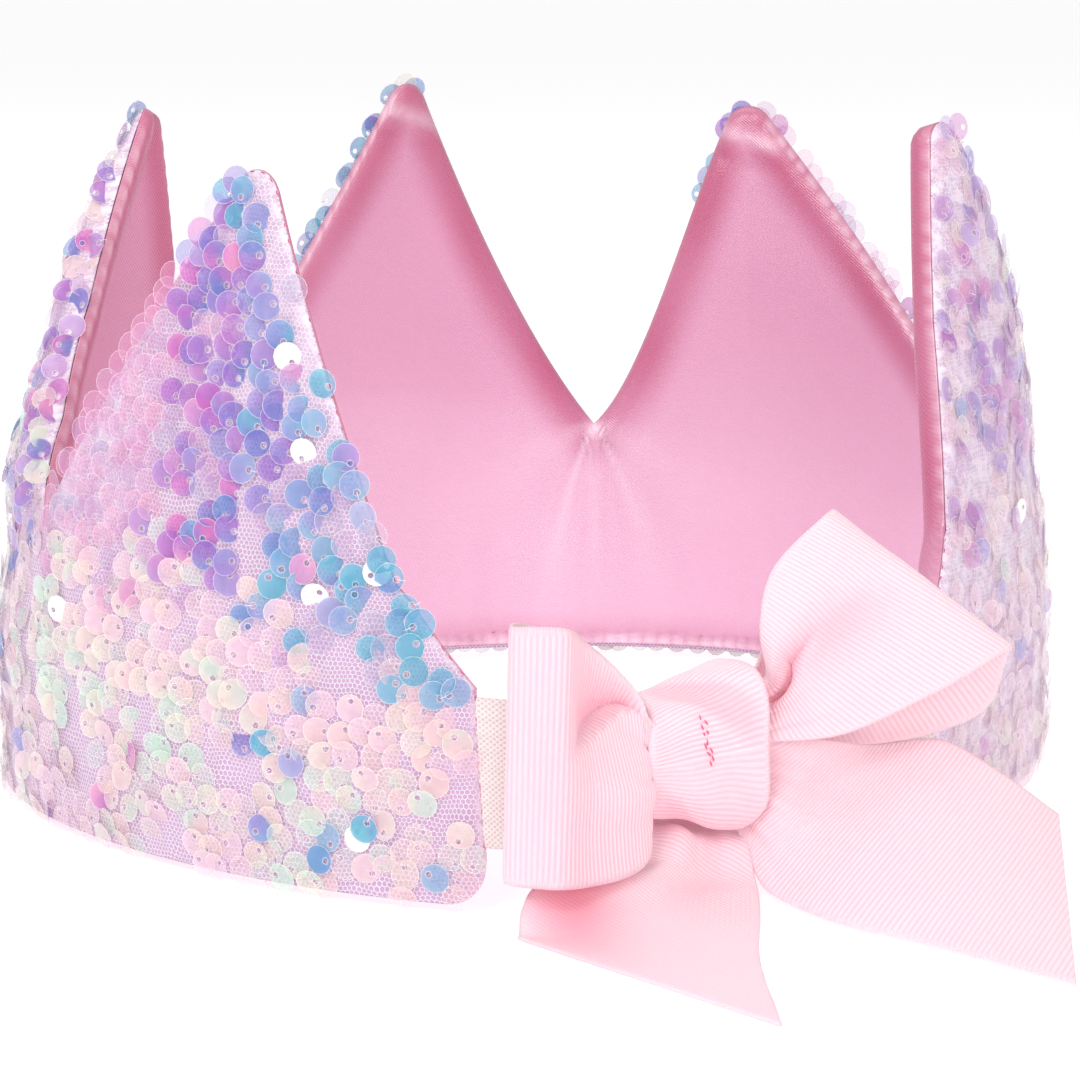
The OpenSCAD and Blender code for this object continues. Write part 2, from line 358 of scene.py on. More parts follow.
def copies(points: Array, faces: Array, uv: Array) -> MeshData:
    """Make one mesh of many copies of a small shape.

    Args:
        points: array of (copies, points, 3).
        faces: faces of one copy.
        uv: map of one copy's points.

    Returns:
        The mesh, copy after copy.
    """
    count, per = points.shape[:2]
    numbers = faces[None] + (np.arange(count) * per)[:, None, None]
    maps = np.tile(uv[faces].reshape(-1, 2), (count, 1))
    return MeshData(points.reshape(-1, 3), numbers.reshape(-1, 4), maps)


# Shader nodes


class Nodes:
    """Adds and links the nodes of one shader tree."""

    def __init__(self, tree: Tree) -> None:
        """Keep the tree that the nodes go into."""
        self.tree = tree

    def put(self, socket: Socket, value: object) -> None:
        """Link a socket to another one, or set its value."""
        if isinstance(value, Socket):
            self.tree.links.new(value, socket)
        elif value is not None:
            socket.default_value = value

    def add(self, kind: str, inputs: dict | None = None, **settings: object) -> bpy.types.Node:
        """Add a node.

        Args:
            kind: the node's type, such as ShaderNodeMath.
            inputs: values or sockets by the input's name or number.
            settings: the node's own settings.

        Returns:
            The new node.
        """
        node = self.tree.nodes.new(kind)
        for key, value in settings.items():
            setattr(node, key, value)
        self.fill(node, inputs or {})
        return node

    def fill(self, node: bpy.types.Node, inputs: dict) -> None:
        """Give a node's inputs values or links, by the input's name or number."""
        for key, value in inputs.items():
            self.put(node.inputs[key], value)

    def math(self, operation: str, *values: object) -> Socket:
        """Result of a Math node on up to three numbers or sockets."""
        return self.add("ShaderNodeMath", dict(enumerate(values)), operation=operation).outputs[0]

    def vector(self, operation: str, *values: object) -> Socket:
        """Result of a Vector Math node: a number for a length or dot product, else a vector."""
        node = self.add("ShaderNodeVectorMath", dict(enumerate(values)), operation=operation)
        return node.outputs["Value" if operation in ("LENGTH", "DOT_PRODUCT") else "Vector"]

    def wave(self, place: object, pitch: float) -> Socket:
        """Sine of a place in metres over a pitch in millimetres."""
        return self.math("SINE", self.math("MULTIPLY", place, TAU / (pitch * MM)))

    def mix(self, share: object, a: object, b: object) -> Socket:
        """Colour between a and b, by the share of b."""
        return self.add("ShaderNodeMix", {0: share, 6: a, 7: b}, data_type="RGBA").outputs[2]

    def span(
        self, value: object, low: float, high: float, to_low: float = 0.0, to_high: float = 1.0
    ) -> Socket:
        """Map the span from low to high onto another span, with a smooth step between."""
        inputs = dict(enumerate((value, low, high, to_low, to_high)))
        return self.add("ShaderNodeMapRange", inputs, interpolation_type="SMOOTHSTEP").outputs[0]

    def noise(self, place: object, size: float) -> Socket:
        """Noise of a size in millimetres, where place is in metres."""
        inputs = {"Vector": place, "Scale": 1 / (size * MM), "Detail": 2.0}
        return self.add("ShaderNodeTexNoise", inputs).outputs["Fac"]

    def bump(self, height: object, distance: float, strength: float = 1.0) -> Socket:
        """Normal of a Bump node, with its distance in millimetres."""
        inputs = {"Height": height, "Distance": distance * MM, "Strength": strength}
        return self.add("ShaderNodeBump", inputs).outputs["Normal"]

    def cloth(self) -> Socket:
        """Place on the piece's own map."""
        return self.add("ShaderNodeUVMap", uv_map="cloth").outputs["UV"]

    def place(self) -> Socket:
        """Place in the crown's own frame."""
        return self.add("ShaderNodeTexCoord").outputs["Object"]

    def tint(self) -> bpy.types.Node:
        """The piece's own colour attribute."""
        return self.add("ShaderNodeVertexColor", layer_name="tint")

    def shares(self) -> bpy.types.Node:
        """Red, green and blue of the piece's own colour attribute, as three shares."""
        return self.add("ShaderNodeSeparateColor", {0: self.tint().outputs["Color"]})

    def group(self, tree: Tree, inputs: dict) -> Socket:
        """Place a node group with values of its own.

        Args:
            tree: the group's tree.
            inputs: value or socket for each named input.

        Returns:
            Its first output.
        """
        node = self.add("ShaderNodeGroup")
        node.node_tree = tree
        self.fill(node, inputs)
        return node.outputs[0]

    def mottled(self, colour: object, scale: float, amount: float) -> Socket:
        """The colour, varied over the crown's own frame by the mottle group."""
        inputs = {"Color": colour, "Place": self.place(), "Scale": scale, "Amount": amount}
        return self.group(mottle_group(), inputs)

    def twill(self, pitch: float, slant: Colour) -> Socket:
        """Height of the twill group over the piece's own map, with its pitch in millimetres."""
        inputs = {"Place": self.cloth(), "Pitch": pitch * MM, "Slant": slant}
        return self.group(twill_group(), inputs)


def new_group(name: str, inputs: dict[str, str], outputs: dict[str, str]) -> tuple[Nodes, dict, dict]:
    """Start a shader node group.

    Args:
        name: the group's name.
        inputs: kind of each input socket by its name.
        outputs: kind of each output socket by its name.

    Returns:
        The group's nodes, its input sockets by name, and its output sockets by name.
    """
    tree = bpy.data.node_groups.new(name, "ShaderNodeTree")
    for key, kind in inputs.items():
        tree.interface.new_socket(name=key, in_out="INPUT", socket_type="NodeSocket" + kind)
    for key, kind in outputs.items():
        tree.interface.new_socket(name=key, in_out="OUTPUT", socket_type="NodeSocket" + kind)
    nodes = Nodes(tree)
    start, end = nodes.add("NodeGroupInput"), nodes.add("NodeGroupOutput")
    return nodes, {k: start.outputs[k] for k in inputs}, {k: end.inputs[k] for k in outputs}


@cache
def tulle_group() -> Tree:
    """Hexagonal net: how near a place is to a thread.

    The plane is cut into hexagons as two shifted lattices of rectangles, 1 by the root of 3. Each
    place belongs to the nearer centre, and its hexagonal distance from that centre is the larger
    of its distance across and its distance along the 60 degree direction.

    Returns:
        The group's tree.
    """
    n, given, out = new_group("tulle", {"Place": "Vector", "Pitch": "Float"}, {"Thread": "Float"})
    cell, half, level = (1.0, math.sqrt(3), 1.0), (0.5, math.sqrt(3) / 2, 0.5), (1.0, 1.0, 0.0)
    pitch = n.add("ShaderNodeCombineXYZ", {"X": given["Pitch"], "Y": given["Pitch"], "Z": 1.0})
    flat = n.vector("MULTIPLY", n.vector("DIVIDE", given["Place"], pitch.outputs[0]), level)

    def nearest(place: Socket) -> Socket:
        """Offset from the centre of the rectangle that holds the place."""
        wrapped = n.vector("WRAP", place, cell, (0.0, 0.0, 0.0))
        return n.vector("MULTIPLY", n.vector("SUBTRACT", wrapped, half), level)

    one = nearest(flat)
    two = nearest(n.vector("SUBTRACT", flat, half))
    closer = n.math("LESS_THAN", n.vector("LENGTH", one), n.vector("LENGTH", two))
    pick = n.add("ShaderNodeMix", {0: closer, 4: two, 5: one}, data_type="VECTOR")
    side = n.vector("ABSOLUTE", pick.outputs[1])
    parts = n.add("ShaderNodeSeparateXYZ", {0: side})
    slant = n.vector("DOT_PRODUCT", side, (0.5, math.sqrt(3) / 2, 0.0))
    n.put(out["Thread"], n.math("MULTIPLY", n.math("MAXIMUM", parts.outputs["X"], slant), 2.0))
    return n.tree


@cache
def twill_group() -> Tree:
    """Fine slanting lines of a satin or twill weave, as a height from 0 to 1.

    The height is the sine of the place along a slanted direction, broken up by noise.

    Returns:
        The group's tree.
    """
    kinds = {"Place": "Vector", "Pitch": "Float", "Slant": "Vector"}
    n, given, out = new_group("twill", kinds, {"Height": "Float"})
    run = n.vector("DOT_PRODUCT", given["Place"], given["Slant"])
    wave = n.math("SINE", n.math("MULTIPLY", n.math("DIVIDE", run, given["Pitch"]), TAU))
    speck = n.add("ShaderNodeTexNoise", {"Vector": given["Place"], "Scale": 2600.0, "Detail": 1.0})
    mixed = n.math("ADD", n.math("MULTIPLY", wave, 0.25), n.math("MULTIPLY", speck.outputs["Fac"], 0.8))
    n.put(out["Height"], n.math("ADD", mixed, 0.1))
    return n.tree


@cache
def mottle_group() -> Tree:
    """Soft colour variation: the colour is scaled up and down by noise of one size.

    Returns:
        The group's tree.
    """
    kinds = {"Color": "Color", "Place": "Vector", "Scale": "Float", "Amount": "Float"}
    n, given, out = new_group("mottle", kinds, {"Color": "Color"})
    noise = n.add("ShaderNodeTexNoise", {"Vector": given["Place"], "Scale": given["Scale"], "Detail": 3.0})
    change = n.math("MULTIPLY", n.math("SUBTRACT", noise.outputs["Fac"], 0.5), given["Amount"])
    hue = n.add("ShaderNodeHueSaturation", {"Color": given["Color"], "Value": n.math("ADD", change, 1.0)})
    n.put(out["Color"], hue.outputs["Color"])
    return n.tree


def new_material(name: str) -> tuple[Material, Nodes, bpy.types.Node]:
    """Make a material with one Principled BSDF.

    Args:
        name: its name.

    Returns:
        The material, its nodes and that shader.
    """
    material = bpy.data.materials.new(name)
    material.use_nodes = True
    nodes = Nodes(material.node_tree)
    return material, nodes, material.node_tree.nodes["Principled BSDF"]


@dataclass(frozen=True)
class SatinFinish:
    """Pink satin: a fine slanting weave with a broad shine."""

    colour: Colour = (0.895, 0.65, 0.775)
    low_colour: Colour = (0.925, 0.73, 0.835)
    # Deeper pink of the rolled edge: painted shade where the satin turns away
    edge_shade_colour: Colour = (0.785, 0.395, 0.54)
    # Palest pink of folds, puckers, creases, valleys and tips: painted highlight
    highlight_colour: Colour = (1.0, 0.88, 0.94)
    roughness: float = 0.3
    weave_pitch: float = 0.4

    def material(self) -> Material:
        """Build the material.

        Returns:
            Satin that is paler low down, with painted shade as deeper pink on the rolled edge and a
            painted highlight on sharp folds, by the shares in its own colour attribute, mottled, with the
            weave as a fine bump.
        """
        material, n, shader = new_material("pink_satin")
        share = n.shares()
        base = n.mix(share.outputs["Green"], rgba(self.colour), rgba(self.low_colour))
        # Red share: painted shade along the rolled edge
        base = n.mix(share.outputs["Red"], base, rgba(self.edge_shade_colour))
        # Blue share: painted highlight on sharp folds
        base = n.mix(share.outputs["Blue"], base, rgba(self.highlight_colour))
        weave = n.twill(self.weave_pitch, (0.57, 0.82, 0.0))
        n.fill(shader, {
            "Base Color": n.mottled(base, 45.0, 0.1),
            "Roughness": n.span(weave, 0.1, 0.9, self.roughness + 0.08, self.roughness - 0.08),
            "Normal": n.bump(weave, 0.08, 0.8),
            "Specular IOR Level": 1.0,
            "Coat Weight": 0.3,
            "Coat Roughness": 0.2,
            "Sheen Weight": 0.2,
            "Sheen Roughness": 0.35,
        })
        return material


@dataclass(frozen=True)
class NetFinish:
    """White net over pale mauve cloth."""

    cloth: Colour = (0.80, 0.64, 0.795)
    thread: Colour = (0.96, 0.905, 0.955)
    pitch: float = 0.74
    wobble: float = 1.5

    def material(self) -> Material:
        """Build the material.

        Returns:
            Cloth that shows in the middle of each hexagon, with raised threads between them. The
            red of the piece's colour attribute is the share of white haze from crumpling, with painted
            light along the edge.
        """
        material, n, shader = new_material("white_net")
        uv = n.cloth()
        wobble = n.add("ShaderNodeTexNoise", {"Vector": uv, "Scale": 220.0, "Detail": 1.0})
        shift = n.vector("SUBTRACT", wobble.outputs["Color"], (0.5, 0.5, 0.5))
        shift = n.vector("MULTIPLY", shift, (self.wobble * MM, self.wobble * MM, 0.0))
        net = n.group(tulle_group(), {"Place": n.vector("ADD", uv, shift), "Pitch": self.pitch * MM})
        # Red share: white haze of crumpling, and painted light along the edge
        haze_and_painted_light = n.shares().outputs["Red"]
        haze = n.math("MULTIPLY", haze_and_painted_light, n.span(n.noise(uv, 1.6), 0.35, 0.65, 0.3, 1.0))
        thread = n.math("MAXIMUM", n.span(net, 0.62, 0.88), haze)
        n.fill(shader, {
            "Base Color": n.mix(thread, n.mottled(rgba(self.cloth), 120.0, 0.35), rgba(self.thread)),
            "Roughness": n.span(net, 0.5, 0.9, 0.7, 0.45),
            "Normal": n.bump(thread, 0.22, 0.8),
            "Sheen Weight": 0.3,
            "Sheen Roughness": 0.4,
        })
        return material


@dataclass(frozen=True)
class SequinFinish:
    """Thin iridescent film that the net shows through, with a pale rim."""

    rim: Colour = (1.0, 0.97, 0.97)
    rim_alpha: float = 0.72
    hole_at: float = 0.5
    hole: float = 0.2
    # Emission in the film's own colour: painted light that stands in for the film's bright reflection
    glow: float = 0.05

    def material(self) -> Material:
        """Build the material.

        Returns:
            Film in each disc's own tint and alpha. It is pale at its rim, where the disc's own
            radius nears 1, and in a thin ring round its hole.
        """
        material, n, shader = new_material("sequin_film")
        uv = n.cloth()
        radius = n.vector("LENGTH", uv)
        outer = n.span(radius, 0.93, 0.955, 0.0, 0.62)
        from_hole = n.vector("LENGTH", n.vector("SUBTRACT", uv, (self.hole_at, 0.0, 0.0)))
        inner = n.span(from_hole, self.hole + 0.03, self.hole + 0.06, 0.6, 0.0)
        rim = n.math("MAXIMUM", outer, inner)
        tint = n.tint()
        keep = n.math("SUBTRACT", 1.0, rim)
        rim_cover = n.math("MULTIPLY", rim, self.rim_alpha)
        colour = n.mix(rim, n.mottled(tint.outputs["Color"], 1400.0, 0.3), rgba(self.rim))
        n.fill(shader, {
            "Base Color": colour,
            "Emission Color": colour,
            "Emission Strength": self.glow,
            "Roughness": n.span(radius, 0.0, 1.0, 0.16, 0.24),
            "Alpha": n.math("MULTIPLY_ADD", tint.outputs["Alpha"], keep, rim_cover),
            "Specular IOR Level": 0.6,
            "Sheen Weight": 0.25,
            "Sheen Roughness": 0.3,
            "Coat Weight": 0.4,
            "Coat Roughness": 0.08,
            "Thin Film Thickness": 420.0,
            "Thin Film IOR": 1.45,
        })
        return material


@dataclass(frozen=True)
class RibbonFinish:
    """Pale pink grosgrain. Its ribs are in the mesh, and its weave is a bump."""

    colour: Colour = (0.985, 0.875, 0.905)
    # Deeper pink of the furrows between ribs: painted shade
    furrow: Colour = (0.975, 0.785, 0.83)
    # Deeper pink of tucks, recesses and creases: painted shade
    shade: Colour = (0.98, 0.62, 0.70)
    # Pink emission: painted light that lifts the ribbon's shade
    glow: Rgba = (1.0, 0.62, 0.72, 1.0)
    rib_pitch: float = 0.8
    warp_pitch: float = 0.22

    def material(self) -> Material:
        """Build the material.

        Returns:
            Ribbon whose furrows are deeper in colour than its ribs. Its own colour attribute
            holds the share of the tucks' deeper pink, of the woven selvedge, and of how far the
            ribs are pressed flat. Fine warp threads cross the ribs.
        """
        material, n, shader = new_material("pink_grosgrain")
        parts = n.add("ShaderNodeSeparateXYZ", {0: n.cloth()})
        run, across = parts.outputs["X"], parts.outputs["Y"]
        turn = n.math("MULTIPLY", run, TAU / (self.rib_pitch * MM))
        rib = n.math("MULTIPLY_ADD", n.math("COSINE", turn), 0.5, 0.5)
        share = n.shares()
        pressed = share.outputs["Blue"]
        raised = n.math("SUBTRACT", 1.0, pressed)
        # Painted shade: the furrows between ribs take the deeper pink
        furrow = n.math("MULTIPLY", n.span(rib, 0.05, 0.75, 0.85, 0.0), raised)
        deeper = n.math("ADD", furrow, n.math("MULTIPLY", pressed, 0.3))
        base = n.mix(deeper, rgba(self.colour), rgba(self.furrow))
        zigzag = n.span(n.wave(run, self.rib_pitch / 2), -1.0, 1.0, 0.0, 0.6)
        woven = n.mix(zigzag, rgba(self.colour), rgba(self.furrow))
        base = n.mix(share.outputs["Green"], base, woven)
        # Red share: painted shade in tucks and recesses
        base = n.mix(share.outputs["Red"], base, rgba(self.shade))
        grain = n.math("MULTIPLY", n.wave(across, self.warp_pitch), rib)
        height = n.math("MULTIPLY", n.math("MULTIPLY_ADD", grain, 0.2, rib), raised)
        n.fill(shader, {
            "Base Color": n.mottled(base, 60.0, 0.06),
            "Roughness": n.span(rib, 0.0, 1.0, 0.62, 0.46),
            "Normal": n.bump(height, 0.07, 0.7),
            "Emission Color": self.glow,
            "Emission Strength": 0.06,
            "Sheen Weight": 0.3,
            "Sheen Roughness": 0.4,
            "Subsurface Weight": 0.15,
            "Subsurface Scale": 2 * MM,
        })
        return material


@dataclass(frozen=True)
class ElasticFinish:
    """Ivory knitted elastic with rows of small loops."""

    colour: Colour = (0.955, 0.92, 0.91)
    gap: Colour = (0.85, 0.79, 0.78)
    loop_length: float = 0.9
    loop_width: float = 0.75

    def material(self) -> Material:
        """Build the material.

        Returns:
            Knitted cloth, whose loops are the product of two sines over its own map.
        """
        material, n, shader = new_material("knitted_elastic")
        parts = n.add("ShaderNodeSeparateXYZ", {0: n.cloth()})
        one = n.wave(parts.outputs["X"], self.loop_length)
        two = n.wave(parts.outputs["Y"], self.loop_width)
        loops = n.math("MULTIPLY_ADD", n.math("MULTIPLY", one, two), 0.5, 0.5)
        n.fill(shader, {
            "Base Color": n.mix(n.span(loops, 0.15, 0.6), rgba(self.gap), rgba(self.colour)),
            "Roughness": n.span(loops, 0.0, 1.0, 0.8, 0.6),
            "Normal": n.bump(loops, 0.12, 0.8),
            "Sheen Weight": 0.3,
        })
        return material


@dataclass(frozen=True)
class ThreadFinish:
    """Sewing thread with a fine twist."""

    name: str = "rose_thread"
    colour: Colour = (0.84, 0.30, 0.50)
    shade: Colour = (0.50, 0.12, 0.27)
    twist: float = 0.25

    def material(self) -> Material:
        """Build the material.

        Returns:
            Thread whose twisted fibres are slanting lines on its own map.
        """
        material, n, shader = new_material(self.name)
        fibres = n.twill(self.twist, (0.7, 0.7, 0.0))
        n.fill(shader, {
            "Base Color": n.mix(n.span(fibres, 0.0, 1.0, 0.35, 0.0), rgba(self.colour), rgba(self.shade)),
            "Roughness": n.span(fibres, 0.0, 1.0, 0.6, 0.4),
            "Normal": n.bump(fibres, 0.03),
        })
        return material


@dataclass(frozen=True)
class FloorFinish:
    """Plain white paper."""

    colour: Colour = (0.90, 0.895, 0.90)
    speck: Rgba = (0.8, 0.8, 0.8, 1.0)
    glow: float = 0.5

    def material(self) -> Material:
        """Build the material.

        Returns:
            Matte white with a very faint grain, which shines a little by itself.
        """
        material, n, shader = new_material("white_paper")
        grain = n.span(n.noise(n.place(), 1.5), 0.3, 0.7, 0.0, 0.02)
        n.fill(shader, {
            "Base Color": n.mix(grain, rgba(self.colour), self.speck),
            "Roughness": 0.75,
            "Emission Color": (1.0, 0.995, 1.0, 1.0),
            "Emission Strength": self.glow,
        })
        return material


# The band


@dataclass
class Band:
    """The crown's band: a strip with five points that stands along a path over the floor.

    s is the distance along the strip from the end at the wearer's left, z the height, and off the
    distance outwards from the strip's middle surface.
    """

    # Columns: distance along the band, height of the corner, sag of the side to the next corner
    outline: tuple = (
        (0, 32, 0), (14, 45.5, 0), (42, 101, 0), (89, 46, 0), (133.5, 106.5, 0), (180, 44, 0),
        (222, 108.5, 2.5), (263, 44.5, 5), (293.5, 104, 0), (352, 43.5, 0), (398.5, 105, 0),
        (428, 45.5, 0), (441, 32, 0),
    )
    start: tuple = (35.3, 0.9)
    heading: tuple = (319.3, 297.5, 274, 234.5, 202.8, 175.6, 150.7, 116.7, 83, 43, 29)
    # Columns: distance along the band, lean at the height lean_top
    lean_in: tuple = (
        (0, 8), (89, 12), (99, 24), (111, 24.5), (122, 22.5), (134, 20.5), (154, 29), (180, 23),
        (222, 16), (264, 9), (294, 4), (352, 8), (377, 11), (399, 15.5), (415, 21), (441, 24),
    )
    lean_from: float = 25.0
    lean_top: float = 103.0
    lean_power: float = 1.3
    tip_r: float = 5.0
    corner_r: float = 6.0
    end_slant: float = 2.0
    path_points: Array = field(init=False)
    path_s: Array = field(init=False)

    def __post_init__(self) -> None:
        """Follow the heading in steps of about 1 mm to get the path."""
        steps = 441
        step = self.length / steps
        middle = (np.arange(steps) + 0.5) * step
        turn = np.radians(self.heading_at(middle))
        moves = step * np.stack([np.cos(turn), np.sin(turn)], 1)
        self.path_points = np.vstack([self.start, self.start + np.cumsum(moves, 0)])
        self.path_s = np.arange(steps + 1) * step

    @property
    def length(self) -> float:
        """Length of the strip."""
        return float(self.outline[-1][0])

    @property
    def flat_size(self) -> tuple[float, float]:
        """Length and greatest height of the strip laid flat, in metres."""
        return self.length * MM, max(row[1] for row in self.outline) * MM

    @property
    def valleys(self) -> list[tuple[float, float]]:
        """Distance and height of the lowest place between each two neighbouring points."""
        return [(s, z) for s, z, _ in self.outline[3:-2:2]]

    @property
    def tips(self) -> list[tuple[float, float]]:
        """Distance and height of the five tips."""
        return [(s, z) for s, z, _ in self.outline[2:-2:2]]

    def heading_at(self, s: Array) -> Array:
        """Heading of the path in degrees, by the smooth curve through the table."""
        return smooth_rows(np.array(self.heading), np.ravel(s) / self.length)[:, 0].reshape(np.shape(s))

    def top(self, s: Array) -> Array:
        """Height of the outline.

        Args:
            s: distances along the band.

        Returns:
            A circle of tip_r round each tip, then a straight line to the corner, less the sag
            times 6.75 u squared (1 - u), where u runs from the circle to the corner.
        """
        s = np.asarray(s, float)
        height = np.zeros_like(s)
        for k, ((s0, z0, sag), (s1, z1, _)) in enumerate(pairwise(self.outline)):
            here = (s >= s0) & (s <= s1)
            if k in (0, len(self.outline) - 2):
                height[here] = z0 + (z1 - z0) * (s[here] - s0) / (s1 - s0)
                continue
            tip_z, corner_z = (z0, z1) if k % 2 == 0 else (z1, z0)
            d = s[here] - s0 if k % 2 == 0 else s1 - s[here]
            run, centre = s1 - s0, tip_z - self.tip_r
            drop = centre - corner_z
            turn = math.acos(self.tip_r / math.hypot(run, drop)) - math.atan2(drop, run)
            touch = self.tip_r * math.cos(turn), centre + self.tip_r * math.sin(turn)
            u = (d - touch[0]) / (run - touch[0])
            side = touch[1] + (corner_z - touch[1]) * u - sag * 6.75 * u * u * (1 - u)
            round_tip = centre + np.sqrt(np.maximum(self.tip_r**2 - d * d, 0))
            height[here] = np.where(d <= touch[0], round_tip, side)
        return height

    def hem(self, s: Array) -> Array:
        """Height of the hem: 0, with a round corner of corner_r at each end.

        Args:
            s: distances along the band.

        Returns:
            Heights, by the circle's own formula in the corners.
        """
        d = np.minimum(s, self.length - s)
        rise = self.corner_r - np.sqrt(np.maximum(self.corner_r**2 - (self.corner_r - d) ** 2, 0))
        return np.where(d < self.corner_r, rise, 0)

    def frame_at(self, s: Array, z: Array) -> tuple[Array, Array]:
        """Place of the middle surface and its level outward direction.

        Args:
            s: distances along the band.
            z: heights, of the same shape.

        Returns:
            Points and directions. The ends slant back, and the wall leans inwards by the table's
            lean times the share of the height above lean_from, raised to lean_power.
        """
        from_end = np.minimum(s, self.length - s)
        slant = self.end_slant * z / self.outline[0][1] * np.maximum(0, 1 - from_end / (2 * self.corner_r))
        at = np.where(s < self.length / 2, s + slant, s - slant)
        x = np.interp(at, self.path_s, self.path_points[:, 0])
        y = np.interp(at, self.path_s, self.path_points[:, 1])
        turn = np.radians(self.heading_at(at))
        out = np.stack([-np.sin(turn), np.cos(turn), np.zeros_like(turn)], -1)
        table = np.array(self.lean_in)
        share = np.maximum(z - self.lean_from, 0) / (self.lean_top - self.lean_from)
        lean = np.interp(at, table[:, 0], table[:, 1]) * share**self.lean_power
        return np.stack([x, y, z], -1) - out * lean[..., None], out

    def point(self, s: Array, z: Array, off: Array) -> Array:
        """Points of the band at distance s, height z and off outwards from its middle surface."""
        middle, out = self.frame_at(s, z)
        return middle + out * np.asarray(off)[..., None]

    def columns(self, step: float) -> Array:
        """Places of the grid's columns: even steps, closer at tips, ends and corners.

        Args:
            step: largest step between two columns.

        Returns:
            Distances along the band, in order.
        """
        end = np.arange(0, 2.4, 0.3)
        s = [end, self.length - end]
        for (a, _, _), (b, _, _) in pairwise(self.outline):
            s.append(np.linspace(a, b, math.ceil((b - a) / step) + 1))
        for tip, _ in self.tips:
            s.append(tip + self.tip_r * np.sin(np.linspace(-1.3, 1.3, 33)))
        every = np.unique(np.round(np.concatenate(s), 3))
        return every[np.concatenate([[True], np.diff(every) > 0.12])]

    def edge_line(self) -> Array:
        """Closed outline of the strip, once round.

        Returns:
            Dense points (s, z).
        """
        s = np.linspace(0, self.length, 1400)
        upper = np.stack([s, self.top(s)], 1)
        lower = np.stack([s, self.hem(s)], 1)
        rise = np.linspace(self.corner_r, self.outline[0][1], 60)
        first = np.stack([np.zeros(60), rise], 1)
        last = np.stack([np.full(60, self.length), rise], 1)
        return np.vstack([upper, last[::-1], lower[::-1], first])

    def edge_distance(self, s: Array, z: Array, which: Array | None = None) -> Array:
        """Distance of each grid point from the strip's edge or another line.

        Args:
            s: distances along the band.
            z: heights.
            which: dense points of the other line, or None for the edge.

        Returns:
            The distance from the nearest of the line's segments, for each point.
        """
        line = self.edge_line() if which is None else which
        flat = np.stack([s.ravel(), z.ravel()], 1)
        near = np.empty(len(flat))
        for first in range(0, len(flat), 4000):
            part = flat[first : first + 4000]
            k = ((part[:, None, :] - line[None, :, :]) ** 2).sum(-1).argmin(1)
            before, after = line[np.maximum(k - 1, 0)], line[np.minimum(k + 1, len(line) - 1)]
            near[first : first + 4000] = np.minimum(
                segment_distance(part, before, line[k]), segment_distance(part, line[k], after)
            )
        return near.reshape(s.shape)


@dataclass
class BandGrid:
    """A grid over the band, with the distance of each point from the edge."""

    band: Band
    step: float
    rows: int
    inset: float = 0.0
    hem_inset: float = 0.0
    s: Array = field(init=False)
    z: Array = field(init=False)
    edge: Array = field(init=False)

    def __post_init__(self) -> None:
        """Spread the rows from the hem to the top, closer to both.

        The share of the height is mixed from an even one and from half of 1 less the cosine of
        pi times it. An inset moves the edge inwards along the strip's own plane.
        """
        columns = self.band.columns(self.step)
        share = np.linspace(0, 1, self.rows)
        share = 0.35 * share + 0.65 * (1 - np.cos(np.pi * share)) / 2
        s, v = np.meshgrid(columns, share, indexing="ij")
        low, high = self.band.hem(s), self.band.top(s)
        slope = np.abs(np.gradient(self.band.top(columns), columns))[:, None]
        lift = self.inset * np.sqrt(1 + np.minimum(slope, 2.2) ** 2)
        low, high = low + self.inset + self.hem_inset, high - lift
        half = self.band.length / 2
        self.s = half + (s - half) * (half - self.inset) / half
        self.z = low + (high - low) * v
        self.edge = self.band.edge_distance(self.s, self.z)

    def flat_area(self) -> float:
        """Area of the cut cloth, by the trapezium rule over the columns.

        Returns:
            Square metres.
        """
        s = self.s[:, 0]
        height = self.band.top(s) - self.band.hem(s)
        return float((np.diff(s) * (height[1:] + height[:-1]) / 2).sum()) * MM * MM


